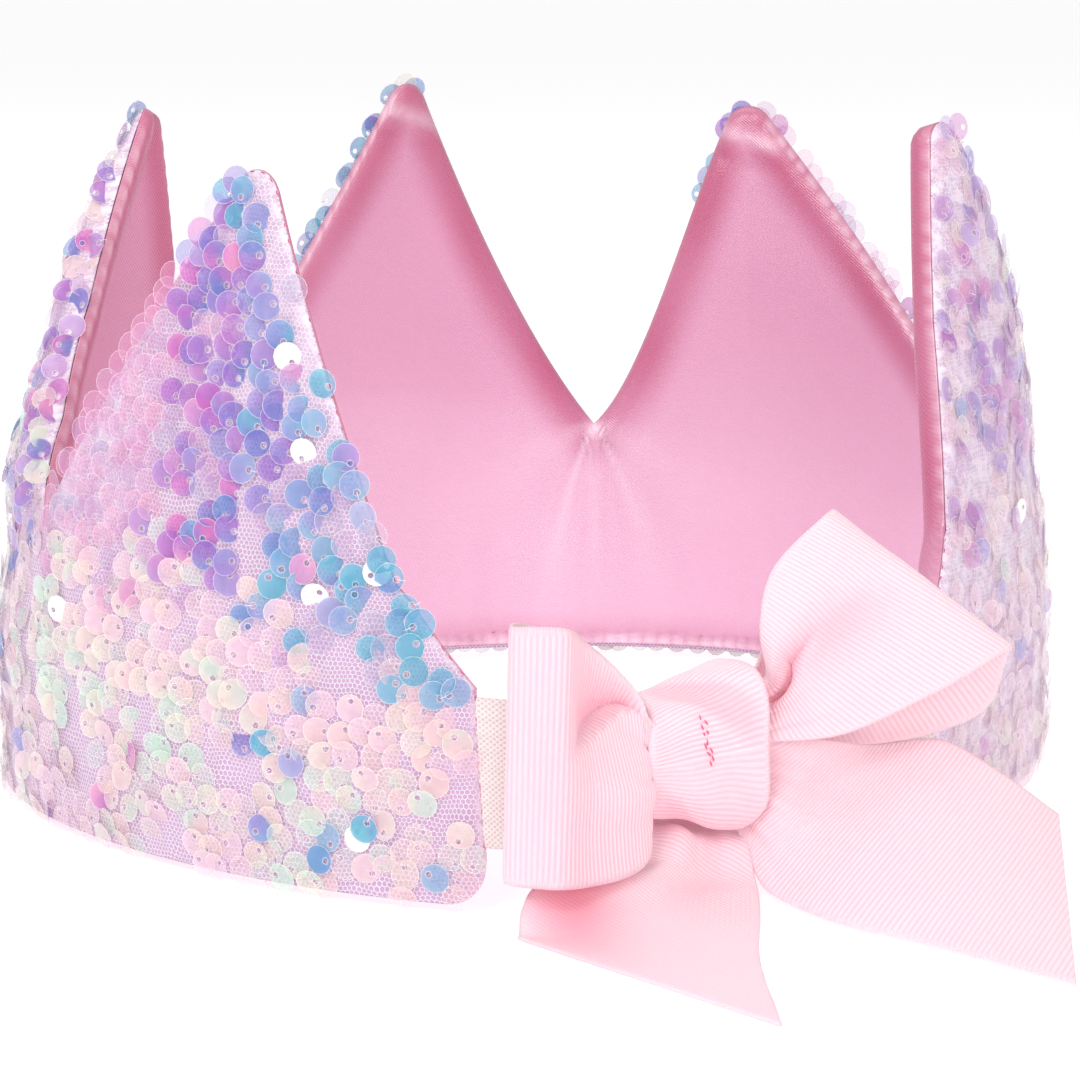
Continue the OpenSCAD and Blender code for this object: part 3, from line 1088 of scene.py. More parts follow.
@dataclass
class SatinLining:
    """Satin inside of the band, padded, rolled at its edge and puckered at hem and valleys."""

    band: Band
    edge_depth: float = 0.12
    depth: float = 2.3
    roll: float = 5.0
    first_depth: float = 2.0
    first_roll: float = 1.6
    # Columns: distance along the band, share by which the padding is thicker there
    fuller: tuple = ((0, 0), (105, 0.2), (222, 0), (352, 0.1), (388, 1.2), (430, 1.2), (441, 0.3))
    # Stretches of the edge where the puckers get a painted highlight: start, end, share
    puckered: tuple = ((92, 131, 0.7), (176, 222, 1.0), (294, 350, 1.0), (400, 430, 0.8))
    # Past this distance the edge's roll is smooth
    smooth_from: float = 378.0
    groove_wave: float = 0.35
    outer_edge: float = 0.25
    stitch_pitch: float = 3.6
    scallop: float = 0.26
    hem_inset: float = 1.9
    seam_z: float = 4.5
    seam_depth: float = 0.8
    hem_pitch: float = 2.6
    hem_fold: float = 0.5
    valley_fold: float = 1.1
    # Height below which the satin looks paler
    low_below: float = 51.5
    # Columns: turn from straight down in degrees, width, height, length, for each valley fold
    creases: tuple = (
        (-30, 0.11, 1.3, 26), (-9, 0.10, 0.8, 16), (9, 0.08, 0.6, 12), (27, 0.11, 1.2, 18),
        (58, 0.3, 0.6, 15), (-66, 0.3, 0.6, 17),
    )

    def folds(self, grid: BandGrid) -> Array:
        """How far the satin stands inwards beyond its plain form.

        Args:
            grid: places on the band.

        Returns:
            Upright ripples that fade from the hem upwards, creases that run down from each valley
            as Gaussian ridges over the angle, wide soft dents, and a pinched ridge at each tip.
        """
        s, z = grid.s, grid.z
        bend = 3.0 * np.sin(z / 17.0) + 1.5 * ripple(s, z, 60, 5)
        wide = np.sin(TAU * (s + bend) / 15.5 + 1.2 * np.sin(s / 21.0))
        fine = np.sin(TAU * (s + bend * 0.6) / 6.7 + 2.0 * np.sin(s / 9.0))
        above = np.maximum(z - self.seam_z, 0)
        fade = np.exp(-above / 15.0) * ease(above / 3.0)
        total = self.hem_fold * fade * (0.75 * wide + 0.3 * fine) * (0.65 + 0.5 * ripple(s, z * 0, 70, 9))
        total += self.valley_fold * self.ridges(grid)
        for v_s, v_z in self.band.valleys:
            total -= 0.55 * bell(np.hypot(s - v_s, z - v_z - 0.5), 3.2)
        total += 0.7 * self.tip_ridge(grid, 0.0, 1.3) - 0.55 * self.tip_ridge(grid, 3.0, 1.5)
        total += 0.5 * ripple(s, z, 38, 21) * ease((grid.edge - 3) / 8)
        return total

    def tip_ridge(self, grid: BandGrid, drop: float, width: float) -> Array:
        """Gaussian about a slanting line below each of the third and fourth tips.

        Args:
            grid: the wall's grid.
            drop: how far below the tip the line is, besides 7 mm.
            width: half width of the Gaussian.

        Returns:
            A share for each grid point.
        """
        total = np.zeros_like(grid.s)
        for tip_s, tip_z in self.band.tips[2:4]:
            low = grid.z - (tip_z - 7.0) + 0.25 * (grid.s - tip_s) + drop
            total += bell(low, width) * ease((10 - np.abs(grid.s - tip_s)) / 6)
        return total

    def ridges(self, grid: BandGrid) -> Array:
        """Creases that run down from each valley: Gaussians over the angle that fade with length.

        Args:
            grid: the wall's grid.

        Returns:
            Height of the creases at each grid point.
        """
        total = np.zeros_like(grid.s)
        for k, (v_s, v_z) in enumerate(self.band.valleys):
            x, y = grid.s - v_s, grid.z - (v_z + 0.5)
            far = np.hypot(x, y)
            angle = np.arctan2(x, -y)
            for j, (turn, width, height, length) in enumerate(self.creases):
                place = math.radians(turn) * (1 + 0.18 * math.sin(2.3 * k + j))
                place = place - 0.006 * far * np.sign(turn)
                ridge = bell(angle - place, width) * np.exp(-far / length)
                total += height * ridge * ease((far - 0.6) / 2.0)
        return total

    def pinches(self, grid: BandGrid) -> Array:
        """Small puckers along the edge and groove along the hem's seam, as a change inwards.

        Args:
            grid: places on the band.

        Returns:
            Scallops between the stitches, which are the size of the sine of the distance walked
            along the edge over the stitches' pitch. Above the hem a Gaussian groove is drawn in
            at the seam, and deeper at each stitch.
        """
        beside = bell(grid.edge - 0.8, 0.7) * ease((grid.z - 8) / 4) * self.roughness(grid.s)
        total = self.scallop * (self.edge_wave(grid) - 0.45) * beside
        groove = bell(grid.z - self.seam(grid.s), 0.6)
        wave = self.hem_wave(grid)
        total += (0.45 * wave - self.seam_depth) * groove + 1.1 * (0.4 + 0.6 * wave) * self.hem_roll(grid)
        return total

    def roughness(self, s: Array) -> Array:
        """1 where the edge's roll is puckered, down to 0 where it is smooth."""
        return 1 - ease((s - self.smooth_from) / 10)

    def seam(self, s: Array) -> Array:
        """Height of the hem's seam, which wanders a little."""
        return self.seam_z + self.groove_wave * ripple(s, s * 0, 21, 19)

    def edge_wave(self, grid: BandGrid) -> Array:
        """Size of the sine of the distance along the upper edge over the stitches' pitch."""
        walked = self.run(grid) + 0.5 * ripple(grid.s, grid.z * 0, 9, 17)
        return np.abs(np.sin(np.pi * walked / self.stitch_pitch))

    def hem_wave(self, grid: BandGrid) -> Array:
        """Size of the sine of the distance along the hem over its stitches' pitch."""
        return np.abs(np.sin(np.pi * (grid.s + 0.6 * ripple(grid.s, grid.s * 0, 13, 18)) / self.hem_pitch))

    def hem_roll(self, grid: BandGrid) -> Array:
        """Puffy fold below the hem's seam, as a Gaussian over the height."""
        return bell(grid.z - 3.1, 0.95)

    def run(self, grid: BandGrid) -> Array:
        """Distance walked along the upper edge up to each column, with the slope counted."""
        walked = walk(np.stack([grid.s[:, 0], self.band.top(grid.s[:, 0])], 1))
        return np.repeat(walked[:, None], grid.s.shape[1], 1)

    def tint(self, grid: BandGrid) -> Array:
        """Shares of painted shade on the rolled edge, of the paler pink low down and of painted highlight.

        Args:
            grid: places on the band.

        Returns:
            Four columns for each place: share of the painted shade's deeper pink along the edge,
            of the low pink, of the painted highlight's palest pink on the hem's fold, the edge's
            puckers, the creases, the valleys and the tips, and 1.
        """
        s, z = grid.s, grid.z
        # Painted shade of the rolled edge, in deeper pink: along the edge, less low down, more on the
        # second point and high up
        rolled = (1 - ease((grid.edge - 2.5) / 7.5)) * (0.85 + 0.15 * ripple(s, z, 24, 61))
        rolled = rolled * (1 - 0.4 * ease((58 - z) / 25)) + 0.3 * window(s, 90, 176, 10, 12)
        rolled = rolled + 0.15 * ease((z - 60) / 45) * (1 + 0.5 * ripple(s, z, 40, 64))
        # Painted highlight, in the palest pink: the hem's fold, then the puckers, the creases, the tips and
        # the valleys
        light = 0.95 * self.hem_roll(grid) * (0.3 + 0.7 * self.hem_wave(grid))
        light = light * (0.8 + 0.4 * ripple(s, z, 12, 63))
        rough = self.roughness(s)
        puckers = bell(grid.edge - 0.35 * rough, 0.12 + 0.28 * rough) * ease((z - 8) / 4)
        shown = np.max([share * window(s, start, end, 5, 5) for start, end, share in self.puckered], 0)
        light = light + (0.03 + 0.6 * shown) * puckers * (0.2 + 0.8 * self.edge_wave(grid))
        light = light + 0.6 * np.maximum(self.ridges(grid), 0) + 0.45 * self.tip_ridge(grid, -1.5, 1.6)
        for v_s, v_z in self.band.valleys:
            light = light + 0.9 * bell(np.hypot(s - v_s, z - v_z + 0.8), 1.5)
        # The pink low down: a sharp border and a soft one, softer on the right-hand points
        border = self.low_below + 3.0 * ripple(s, z, 55, 62) + 7 * ease((s - 268) / 30)
        sharp = 0.35 - 0.2 * ease((s - 255) / 30)
        low = ease((border - z) / 7 + 0.5) * sharp + (1 - sharp) * ease((border + 16 - z) / 46)
        return np.stack([np.clip(rolled, 0, 1), low, np.clip(light, 0, 0.9), np.ones_like(low)], -1)

    def build(self, material: Material) -> Piece:
        """Make the lining.

        The inner side stands off by edge_depth at the edge and rises by depth along a quarter
        round over roll. On the first point, which is pressed flatter, it rises to first_depth as
        1 less the exponential of the distance over first_roll. The outer side lies close behind
        the net, and stands off outwards by outer_edge at the edge.

        Args:
            material: the satin finish.

        Returns:
            The piece.
        """
        grid = BandGrid(self.band, 0.7, 50, hem_inset=self.hem_inset)
        edge = np.minimum(grid.edge, self.band.edge_distance(grid.s, grid.z, self.hem_edge()))
        table = np.array(self.fuller)
        thick = self.depth * (1 + np.interp(grid.s, table[:, 0], table[:, 1]))
        round_side = thick * quarter_round(edge / self.roll)
        flat_side = self.first_depth * (1 - np.exp(-edge / self.first_roll))
        full = ease((grid.s - 0.7 * self.band.valleys[0][0]) / 30)
        inner = -(self.edge_depth * ease(edge / 0.3) + flat_side + (round_side - flat_side) * full)
        inner -= (self.folds(grid) + self.pinches(grid)) * ease(edge / 1.6)
        outer = self.outer_edge * (1 - ease((edge - 0.4) / 1.2)) - 0.05
        inner = np.minimum(inner, outer - 0.3 * ease(edge / 0.3) - 0.02)
        front = self.band.point(grid.s, grid.z, outer)
        back = self.band.point(grid.s, grid.z, inner)
        data = shell(back, front, np.stack([grid.s, grid.z], -1) * MM)
        data.tint = np.tile(self.tint(grid).reshape(-1, 4), (2, 1))
        piece = data.build("satin", material, Slot.SATIN)
        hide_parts("satin_lining")
        grid.flat_area()
        return piece

    def hem_edge(self) -> Array:
        """The lining's own hem as dense points (s, z)."""
        s = np.linspace(0, self.band.length, 900)
        return np.stack([s, self.band.hem(s) + self.hem_inset], 1)


@dataclass
class NetPanel:
    """Outside of the band: net over cloth, drawn in at its edge by the seam."""

    band: Band
    depth: float = 1.4
    edge_off: float = 0.28
    inset: float = 0.06
    hem_inset: float = 1.2
    roll: float = 2.6
    # Where the second point's padded outside curls over its edge: start, end, extra depth
    curl: tuple = (90.0, 131.0, 2.8)

    def curl_share(self, s: Array, z: Array) -> Array:
        """How far the outside curls over its edge, from 0 to 1, by smooth steps over s and z."""
        start, end, _ = self.curl
        return window(s, start, end, 8, 6) * ease((z - 36) / 16)

    def off(self, s: Array, z: Array, edge: Array) -> Array:
        """How far the net stands outwards from the middle surface.

        Args:
            s: distances along the band.
            z: heights.
            edge: distances from the strip's edge.

        Returns:
            A quarter round over roll, deeper and wider where it curls, with soft uneven waves
            further in.
        """
        more = self.curl[2] * self.curl_share(s, z)
        rise = quarter_round((edge - self.inset) / (self.roll + 0.9 * more))
        waves = 0.35 * ripple(s, z, 26, 31) + 0.15 * ripple(s, z, 9, 32)
        return self.edge_off + (self.depth + more - self.edge_off) * rise + waves * ease((edge - 1) / 6)

    def haze_and_painted_light(self, grid: BandGrid) -> Array:
        """Share of white haze from crumpling, with painted light along the edge.

        Args:
            grid: places on the band.

        Returns:
            A share from 0 to 1, the sum of smooth windows over the first point's two sides and
            the last point, of the curl, and of a Gaussian over the distance from the edge.
        """
        s, z = grid.s, grid.z
        share = 0.35 * ease((z - 55) / 20) * ease((55 - s) / 10) + 0.75 * ease((s - 350) / 20)
        share = share + 0.55 * window(s, 56, 92, 14, 6) * ease((z - 38) / 16)
        # The Gaussian over the edge distance is painted light over the groove's shade
        return np.clip(share + 0.8 * bell(grid.edge, 0.9) + 0.5 * self.curl_share(s, z), 0, 1)

    def build(self, material: Material) -> Piece:
        """Make the panel: a closed wall from just outside the lining to the net's face.

        Args:
            material: the net finish.

        Returns:
            The piece.
        """
        grid = BandGrid(self.band, 0.86, 42, inset=self.inset, hem_inset=self.hem_inset)
        off = self.off(grid.s, grid.z, grid.edge)
        front = self.band.point(grid.s, grid.z, off)
        back = self.band.point(grid.s, grid.z, np.minimum(off - 0.2, 0.35))
        data = shell(front[::-1], back[::-1], np.stack([grid.s, grid.z], -1)[::-1] * MM)
        red = self.haze_and_painted_light(grid)[::-1].ravel()
        data.tint = np.tile(np.stack([red, red * 0, red * 0, red * 0 + 1], 1), (2, 1))
        piece = data.build("net_panel", material, Slot.NET)
        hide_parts("outer_panel")
        grid.flat_area()
        return piece


class Tone(Enum):
    """Tints of the sequins, as display colours."""

    TEAL = (0.36, 0.74, 0.85)
    BLUE = (0.42, 0.60, 0.85)
    INDIGO = (0.53, 0.50, 0.83)
    VIOLET = (0.69, 0.44, 0.82)
    MAGENTA = (0.87, 0.42, 0.78)
    ROSE = (0.95, 0.62, 0.80)
    LILAC = (0.84, 0.76, 0.93)
    CREAM = (0.975, 0.93, 0.88)
    GREEN = (0.85, 0.945, 0.885)
    PEACH = (0.985, 0.865, 0.86)
    BLUSH = (0.985, 0.86, 0.92)
    WHITE = (1.0, 1.0, 0.99)

    @property
    def light(self) -> Array:
        """The tint in linear light."""
        return linear(self.value)


def between(tones: tuple[Tone, ...], share: Array) -> Array:
    """Colours along a row of tones.

    Args:
        tones: the tones in order.
        share: places along the row, from 0 to 1.

    Returns:
        One linear colour for each place, mixed from its two neighbours.
    """
    stops = np.array([tone.light for tone in tones])
    place = np.clip(share, 0, 1) * (len(stops) - 1)
    k = np.minimum(place.astype(int), len(stops) - 2)
    f = (place - k)[:, None]
    return stops[k] * (1 - f) + stops[k + 1] * f


@dataclass
class SequinField:
    """Round sequins sewn over the net, one mesh for each of the five points."""

    band: Band
    panel: NetPanel
    radius: float = 2.1
    hole: float = 0.42
    hole_off: float = 1.05
    cup: float = 0.03
    thickness: float = 0.04
    sides: int = 14
    # Half the width and half the height of the thread that ties a sequin
    tie_size: tuple = (0.055, 0.03)
    across: float = 3.65
    up: float = 3.2
    edge_pitch: float = 3.6
    bare_from: float = 68.0
    # Places nearer to the edge than this hold none of the lattice's sequins
    clear_edge: float = 1.2
    # Distance past which the last point begins, which is sewn more thinly
    last_point: float = 350.0
    # Stretches of the edge, seen from inside in the main view, where no sequin stands out over it
    tucked: tuple = ((136, 177), (225, 283), (356, 396))
    deep_tones: tuple = (Tone.TEAL, Tone.BLUE, Tone.INDIGO, Tone.VIOLET, Tone.MAGENTA, Tone.ROSE)
    pale_tones: tuple = (Tone.GREEN, Tone.CREAM, Tone.PEACH, Tone.BLUSH)

    def places(self, rng: np.random.Generator) -> tuple[Array, Array]:
        """Where the sequins are sewn.

        Args:
            rng: source of the random draws.

        Returns:
            Distances along the band and heights: a lattice of staggered rows, each place moved
            a little, without those in bare patches and along the bare edge of the first point,
            and a row along the upper edge that stands out over it.
        """
        rows = np.arange(2.1, 112, self.up)
        columns = np.arange(1.5, self.band.length - 1, self.across)
        z, s = np.meshgrid(rows, columns, indexing="ij")
        s = s + self.across / 2 * (np.arange(len(rows)) % 2)[:, None]
        s, z = s.ravel(), z.ravel()
        s = s + rng.normal(0, 0.6, len(s))
        z = z + rng.normal(0, 0.5, len(z)) * np.minimum(1, z / 6)
        s = np.clip(s, 1.2, self.band.length - 1.2)
        bare = ripple(s, z, 17, 41) + rng.normal(0, 0.25, len(s))
        edge = self.band.edge_distance(s, z)
        keep = (z > 1.7 + self.band.hem(s)) & (z < self.band.top(s)) & (edge > self.clear_edge)
        keep &= bare < 0.95 - 0.3 * ease((46 - z) / 8)
        keep &= ~(within(s, self.tucked) & (z > 20) & (edge < 2.4))
        walk_s = np.linspace(8, self.band.length - 8, 5000)
        walk_z = self.band.top(walk_s)
        walked = walk(np.stack([walk_s, walk_z], 1))
        at = np.arange(2, walked[-1] - 2, self.edge_pitch)
        at = at + rng.normal(0, 0.7, len(at))
        edge_s = np.interp(at, walked, walk_s)
        depth = rng.uniform(0.05, 0.8, len(at)) + np.where(within(edge_s, self.tucked), 2.4, 0)
        steep = np.hypot(1, np.interp(edge_s, walk_s, np.abs(np.gradient(walk_z, walk_s))))
        edge_z = np.interp(at, walked, walk_z) - depth * np.minimum(steep, 2.6)
        s, z = np.concatenate([s[keep], edge_s]), np.concatenate([z[keep], edge_z])
        edge = self.band.edge_distance(s, z)
        first_edge = (s < self.band.tips[0][0] + 1) & (edge < 3.4) & (z > self.bare_from)
        keep = ~(first_edge & (rng.random(len(s)) < 0.92))
        keep &= ~((s > self.last_point + 6) & (z > 12) & (rng.random(len(s)) < 0.22))
        return s[keep], z[keep]

    def tints(self, s: Array, z: Array, rng: np.random.Generator) -> Array:
        """Tint and cover of each sequin on two opposite sides of its rim.

        Args:
            s: distances along the band.
            z: heights.
            rng: source of the random draws.

        Returns:
            Array of (sequins, 2, 4): linear colour and alpha at the one side and at the other.
            Above a wavy border the colours run from teal by blue and violet to rose with the
            distance from the first end, and below it they are green, cream, peach and blush, with
            a few strong ones among them. A few are plain white discs as painted glints, and those of
            the far hem are darker as painted shade.
        """
        n = len(s)
        first, last = s < self.band.valleys[0][0], s > self.last_point
        border = 42 + 4 * ripple(s, z * 0, 23, 51) - 10 * bell(s - 18, 12)
        upper = rng.random(n) < ease((z - border + 7) / 15)
        strong = upper & (first | (rng.random(n) < 0.62))
        strong |= rng.random(n) < 0.06
        trend = 0.05 + (s - 24) / 45 - 0.2 * ease((z - 78) / 18)
        trend = np.where(first, trend, 0.5 + 0.45 * ripple(s, z, 30, 52))
        trend = np.where(last, 0.72 + 0.3 * ripple(s, z, 26, 55), trend)
        hue = np.clip(np.minimum(trend, 0.82) + rng.normal(0, 0.15, n), 0, 1)
        hue = np.where(rng.random(n) < 0.12, rng.random(n), hue)
        edge = self.band.edge_distance(s, z)
        upper_edge = (edge < 2.8) & (z > 20)
        far_left = within(s, ((177, 222),)) & upper_edge
        far_right = within(s, ((294, 352),)) & upper_edge
        hue = np.where(far_left & (rng.random(n) < 0.8), 0.05, hue)
        turn = rng.normal(0, 0.10, n)
        pale_hue = 0.5 + 0.4 * ripple(s, z, 28, 53) + rng.normal(0, 0.28, n)
        pale_hue = np.where(last, 0.55 + 0.6 * pale_hue, pale_hue)
        pale_turn = rng.normal(0, 0.2, n)
        fade = np.clip(rng.normal(0.14, 0.18, n) + 0.3 * last, 0, 0.8)[:, None]
        beyond = (s > 56 + 5 * ripple(z, z * 0, 15, 54)) & first
        faint = upper & (beyond | (rng.random(n) < 0.16))
        faint |= far_right & (rng.random(n) < 0.7)
        strong |= far_left | far_right
        cover = np.where(strong, 0.43, np.where(rng.random(n) < 0.25, 0.15, 0.3)) + rng.normal(0, 0.04, n)
        cover = np.where(faint, 0.17, cover) * np.where(last, 0.8, 1)
        open_edge = (s < 42) & (edge < 7) & (z > 44)
        # Painted highlight: a few discs are plain white glints
        glint = rng.random(n) < np.where(open_edge, 0.07, 0.008)
        # Painted shade: the far hem's sequins are darker
        far_hem_shade = (z < 3.6) & within(s, ((140, 345),))
        alpha = np.where(glint, 0.9, np.clip(cover, 0.1, 0.6))[:, None]
        sides = []
        for way in (1, -1):
            deep = between(self.deep_tones, hue + way * turn) * (1 - fade) + Tone.LILAC.light * fade
            pale = between(self.pale_tones, pale_hue + way * pale_turn)
            tint = np.where(strong[:, None], deep, pale)
            washed = 0.5 * tint + 0.25 * Tone.ROSE.light + 0.25 * Tone.BLUSH.light
            tint = np.where(faint[:, None], washed, tint)
            tint = np.where(glint[:, None], Tone.WHITE.light, tint)
            tint = np.where(far_hem_shade[:, None], 0.6 * tint, tint)
            sides.append(np.hstack([tint, alpha]))
        return np.stack(sides, 1)

    def disc(self) -> tuple[Array, Array, Array]:
        """One sequin: a shallow cone from its rim to a small hole off its middle.

        Returns:
            Its points, its faces, and its points' map, which is the place over the radius.
        """
        turn = np.arange(self.sides) / self.sides * TAU
        ring = np.stack([np.cos(turn), np.sin(turn)], 1)
        rim = np.hstack([ring * self.radius, np.zeros((self.sides, 1))])
        hole = np.hstack([ring * self.hole + [self.hole_off, 0], np.full((self.sides, 1), -self.cup)])
        low = np.array([0, 0, -self.thickness])
        points = np.vstack([rim, hole, rim + low, hole + low])
        rim_i = np.arange(self.sides)
        rim_j = (rim_i + 1) % self.sides
        hole_i, hole_j = rim_i + self.sides, rim_j + self.sides
        down = 2 * self.sides
        faces = np.vstack([
            np.stack([rim_i, rim_j, hole_j, hole_i], 1),
            np.stack([rim_j, rim_i, hole_i, hole_j], 1) + down,
            np.stack([rim_j, rim_i, rim_i + down, rim_j + down], 1),
            np.stack([hole_i, hole_j, hole_j + down, hole_i + down], 1),
        ])
        return points, faces, points[:, :2] / self.radius

    def tie(self) -> tuple[Array, Array, Array]:
        """The clear thread that holds one sequin, from its hole over the near rim.

        Returns:
            Points, faces and map of a bent bar with four sides and four sections.
        """
        middle = np.array([
            [self.hole_off - 0.1, -0.4], [self.hole_off + 0.3, 0.0],
            [self.radius - 0.05, 0.05], [self.radius + 0.25, -0.4],
        ])
        half, high = self.tie_size
        ring = np.array([[half, high], [-half, high], [-half, -high], [half, -high]])
        points = np.array([[x, y, z + h] for x, z in middle for y, h in ring])
        # A ring of the bar turns the other way from a tube's
        faces = tube_faces(4, 4)[:, [0, 3, 2, 1]]
        caps = np.array([[3, 2, 1, 0], [12, 13, 14, 15]])
        return points, np.vstack([faces, caps]), points[:, :2] * MM

    def scatter(self, shape: tuple, here: Array, axes: Array, size: Array) -> MeshData:
        """Copy a small shape to every sequin's place.

        Args:
            shape: points, faces and map of the shape.
            here: places.
            axes: array of (sequins, 3, 3), the three directions of each.
            size: scale of each.

        Returns:
            All copies as one mesh, none of them below the floor.
        """
        points, faces, uv = shape
        placed = here[:, None, :] + size[:, None, None] * np.einsum("pk,nkc->npc", points, axes)
        low = np.minimum(placed[..., 2].min(1) - 0.1, 0)
        placed[..., 2] -= low[:, None]
        return copies(placed, faces, uv)

    def build(self, film: Material, clear: Material) -> list[Piece]:
        """Make the sequins and the threads that tie them.

        Each lies on the net along its own tilted plane. The plane's normal is the cloth's outward
        normal plus small random shares of the two directions along the cloth, and it turns
        towards the edge where the outside curls over it, and a little on the first point.

        Args:
            film: the film finish.
            clear: the finish of the threads.

        Returns:
            One piece for each point of the crown, and one for all threads.
        """
        rng = np.random.default_rng(SEED)
        s, z = self.places(rng)
        n = len(s)
        edge = self.band.edge_distance(s, z)
        lift = rng.uniform(0.3, 0.85, n)
        curl = self.panel.curl_share(s, z)

        def spot(d_s: float, d_z: float) -> Array:
            """Places on the net a little further along or up than each sequin."""
            near = np.maximum(self.band.edge_distance(s + d_s, z + d_z), 1 - 0.7 * curl)
            return self.band.point(s + d_s, z + d_z, self.panel.off(s + d_s, z + d_z, near) + lift)

        here = spot(0, 0)
        e = 0.3
        side = unit(spot(e, 0) - spot(-e, 0))
        up = unit(spot(0, e) - spot(0, -e))
        out = unit(np.cross(up, side))
        level = self.band.frame_at(s, z)[1]
        out *= np.sign((out * level).sum(1, keepdims=True))
        lean = rng.normal(0, 0.13, (n, 2)) + [0, -0.05]
        lean = lean + (curl * np.exp(-edge / 4))[:, None] * [-0.5, 0.3]
        lean[:, 0] -= 0.3 * ease((89 - s) / 15) * ease((z - 12) / 15)
        normal = unit(out + side * lean[:, :1] + up * lean[:, 1:])
        spin = np.where(z > 46, rng.normal(-0.6, 0.8, n), rng.uniform(-math.pi, math.pi, n))
        # Seen from outside the band runs to the left, so the first direction points to the right
        first = unit(np.cross(up, normal))
        first *= -np.sign((first * side).sum(1, keepdims=True))
        second = np.cross(normal, first)
        one = first * np.cos(spin)[:, None] + second * np.sin(spin)[:, None]
        axes = np.stack([one, np.cross(normal, one), normal], 1)
        size = rng.uniform(0.95, 1.07, n)
        tints = self.tints(s, z, rng)
        turn = np.arange(self.sides)[None, :] / self.sides * TAU + rng.uniform(0, TAU, n)[:, None]
        blend = np.tile(0.5 + 0.5 * np.cos(turn), (1, 4))[..., None]
        tint = tints[:, None, 0] * blend + tints[:, None, 1] * (1 - blend)
        borders = [-1.0, *[v[0] for v in self.band.valleys], self.band.length + 1]
        pieces = []
        for k, (a, b) in enumerate(pairwise(borders)):
            own = (s >= a) & (s < b)
            data = self.scatter(self.disc(), here[own], axes[own], size[own])
            data.tint = tint[own].reshape(-1, 4)
            data.smooth = False
            pieces.append(data.build(f"sequins_{k + 1}", film, Slot.NET))
        tied = rng.random(n) < 0.35
        ties = self.scatter(self.tie(), here[tied], axes[tied], size[tied])
        pieces.append(ties.build("sequin_threads", clear, Slot.NET))
        LOG.info("sequins in all: %d", n)
        return pieces


# Stitches


@dataclass
class Stitching:
    """Small stitches along a line: bent capsules with six sides that stand a little out of the cloth."""

    length: float = 1.7
    radius: float = 0.2
    rise: float = 0.22
    rings: int = 6
    sides: int = 6

    def along_line(self, ends: Array, out: Array) -> MeshData:
        """Make one stitch between each pair of ends.

        Args:
            ends: array of (stitches, 2, 3), the two ends of each.
            out: array of (stitches, 3), the direction out of the cloth.

        Returns:
            All stitches as one mesh. A stitch's middle line rises by rise times the sine of pi
            times the share of its length, and its radius is the root of that sine.
        """
        share = np.linspace(0, 1, self.rings)
        bow = np.sin(np.pi * share)
        start, end = ends[:, 0], ends[:, 1]
        line = start[:, None] + (end - start)[:, None] * share[:, None]
        line = line + out[:, None] * (self.rise * bow)[:, None]
        forward = unit(end - start)
        across = unit(np.cross(out, forward))
        upward = np.cross(forward, across)
        turn = np.arange(self.sides) / self.sides * TAU
        thick = self.radius * np.sqrt(0.06 + 0.94 * bow)
        ring = across[:, None, None] * np.cos(turn)[:, None] + upward[:, None, None] * np.sin(turn)[:, None]
        points = line[:, :, None] + ring * thick[:, None, None]
        cap = np.array([[0, 1, 2, 3], [0, 3, 4, 5]])
        far_cap = cap[:, ::-1] + (self.rings - 1) * self.sides
        faces = np.vstack([tube_faces(self.rings, self.sides), cap, far_cap])
        uv = flat_map(share * self.length, turn * self.radius).reshape(-1, 2)
        return copies(points.reshape(len(ends), -1, 3), faces, uv)


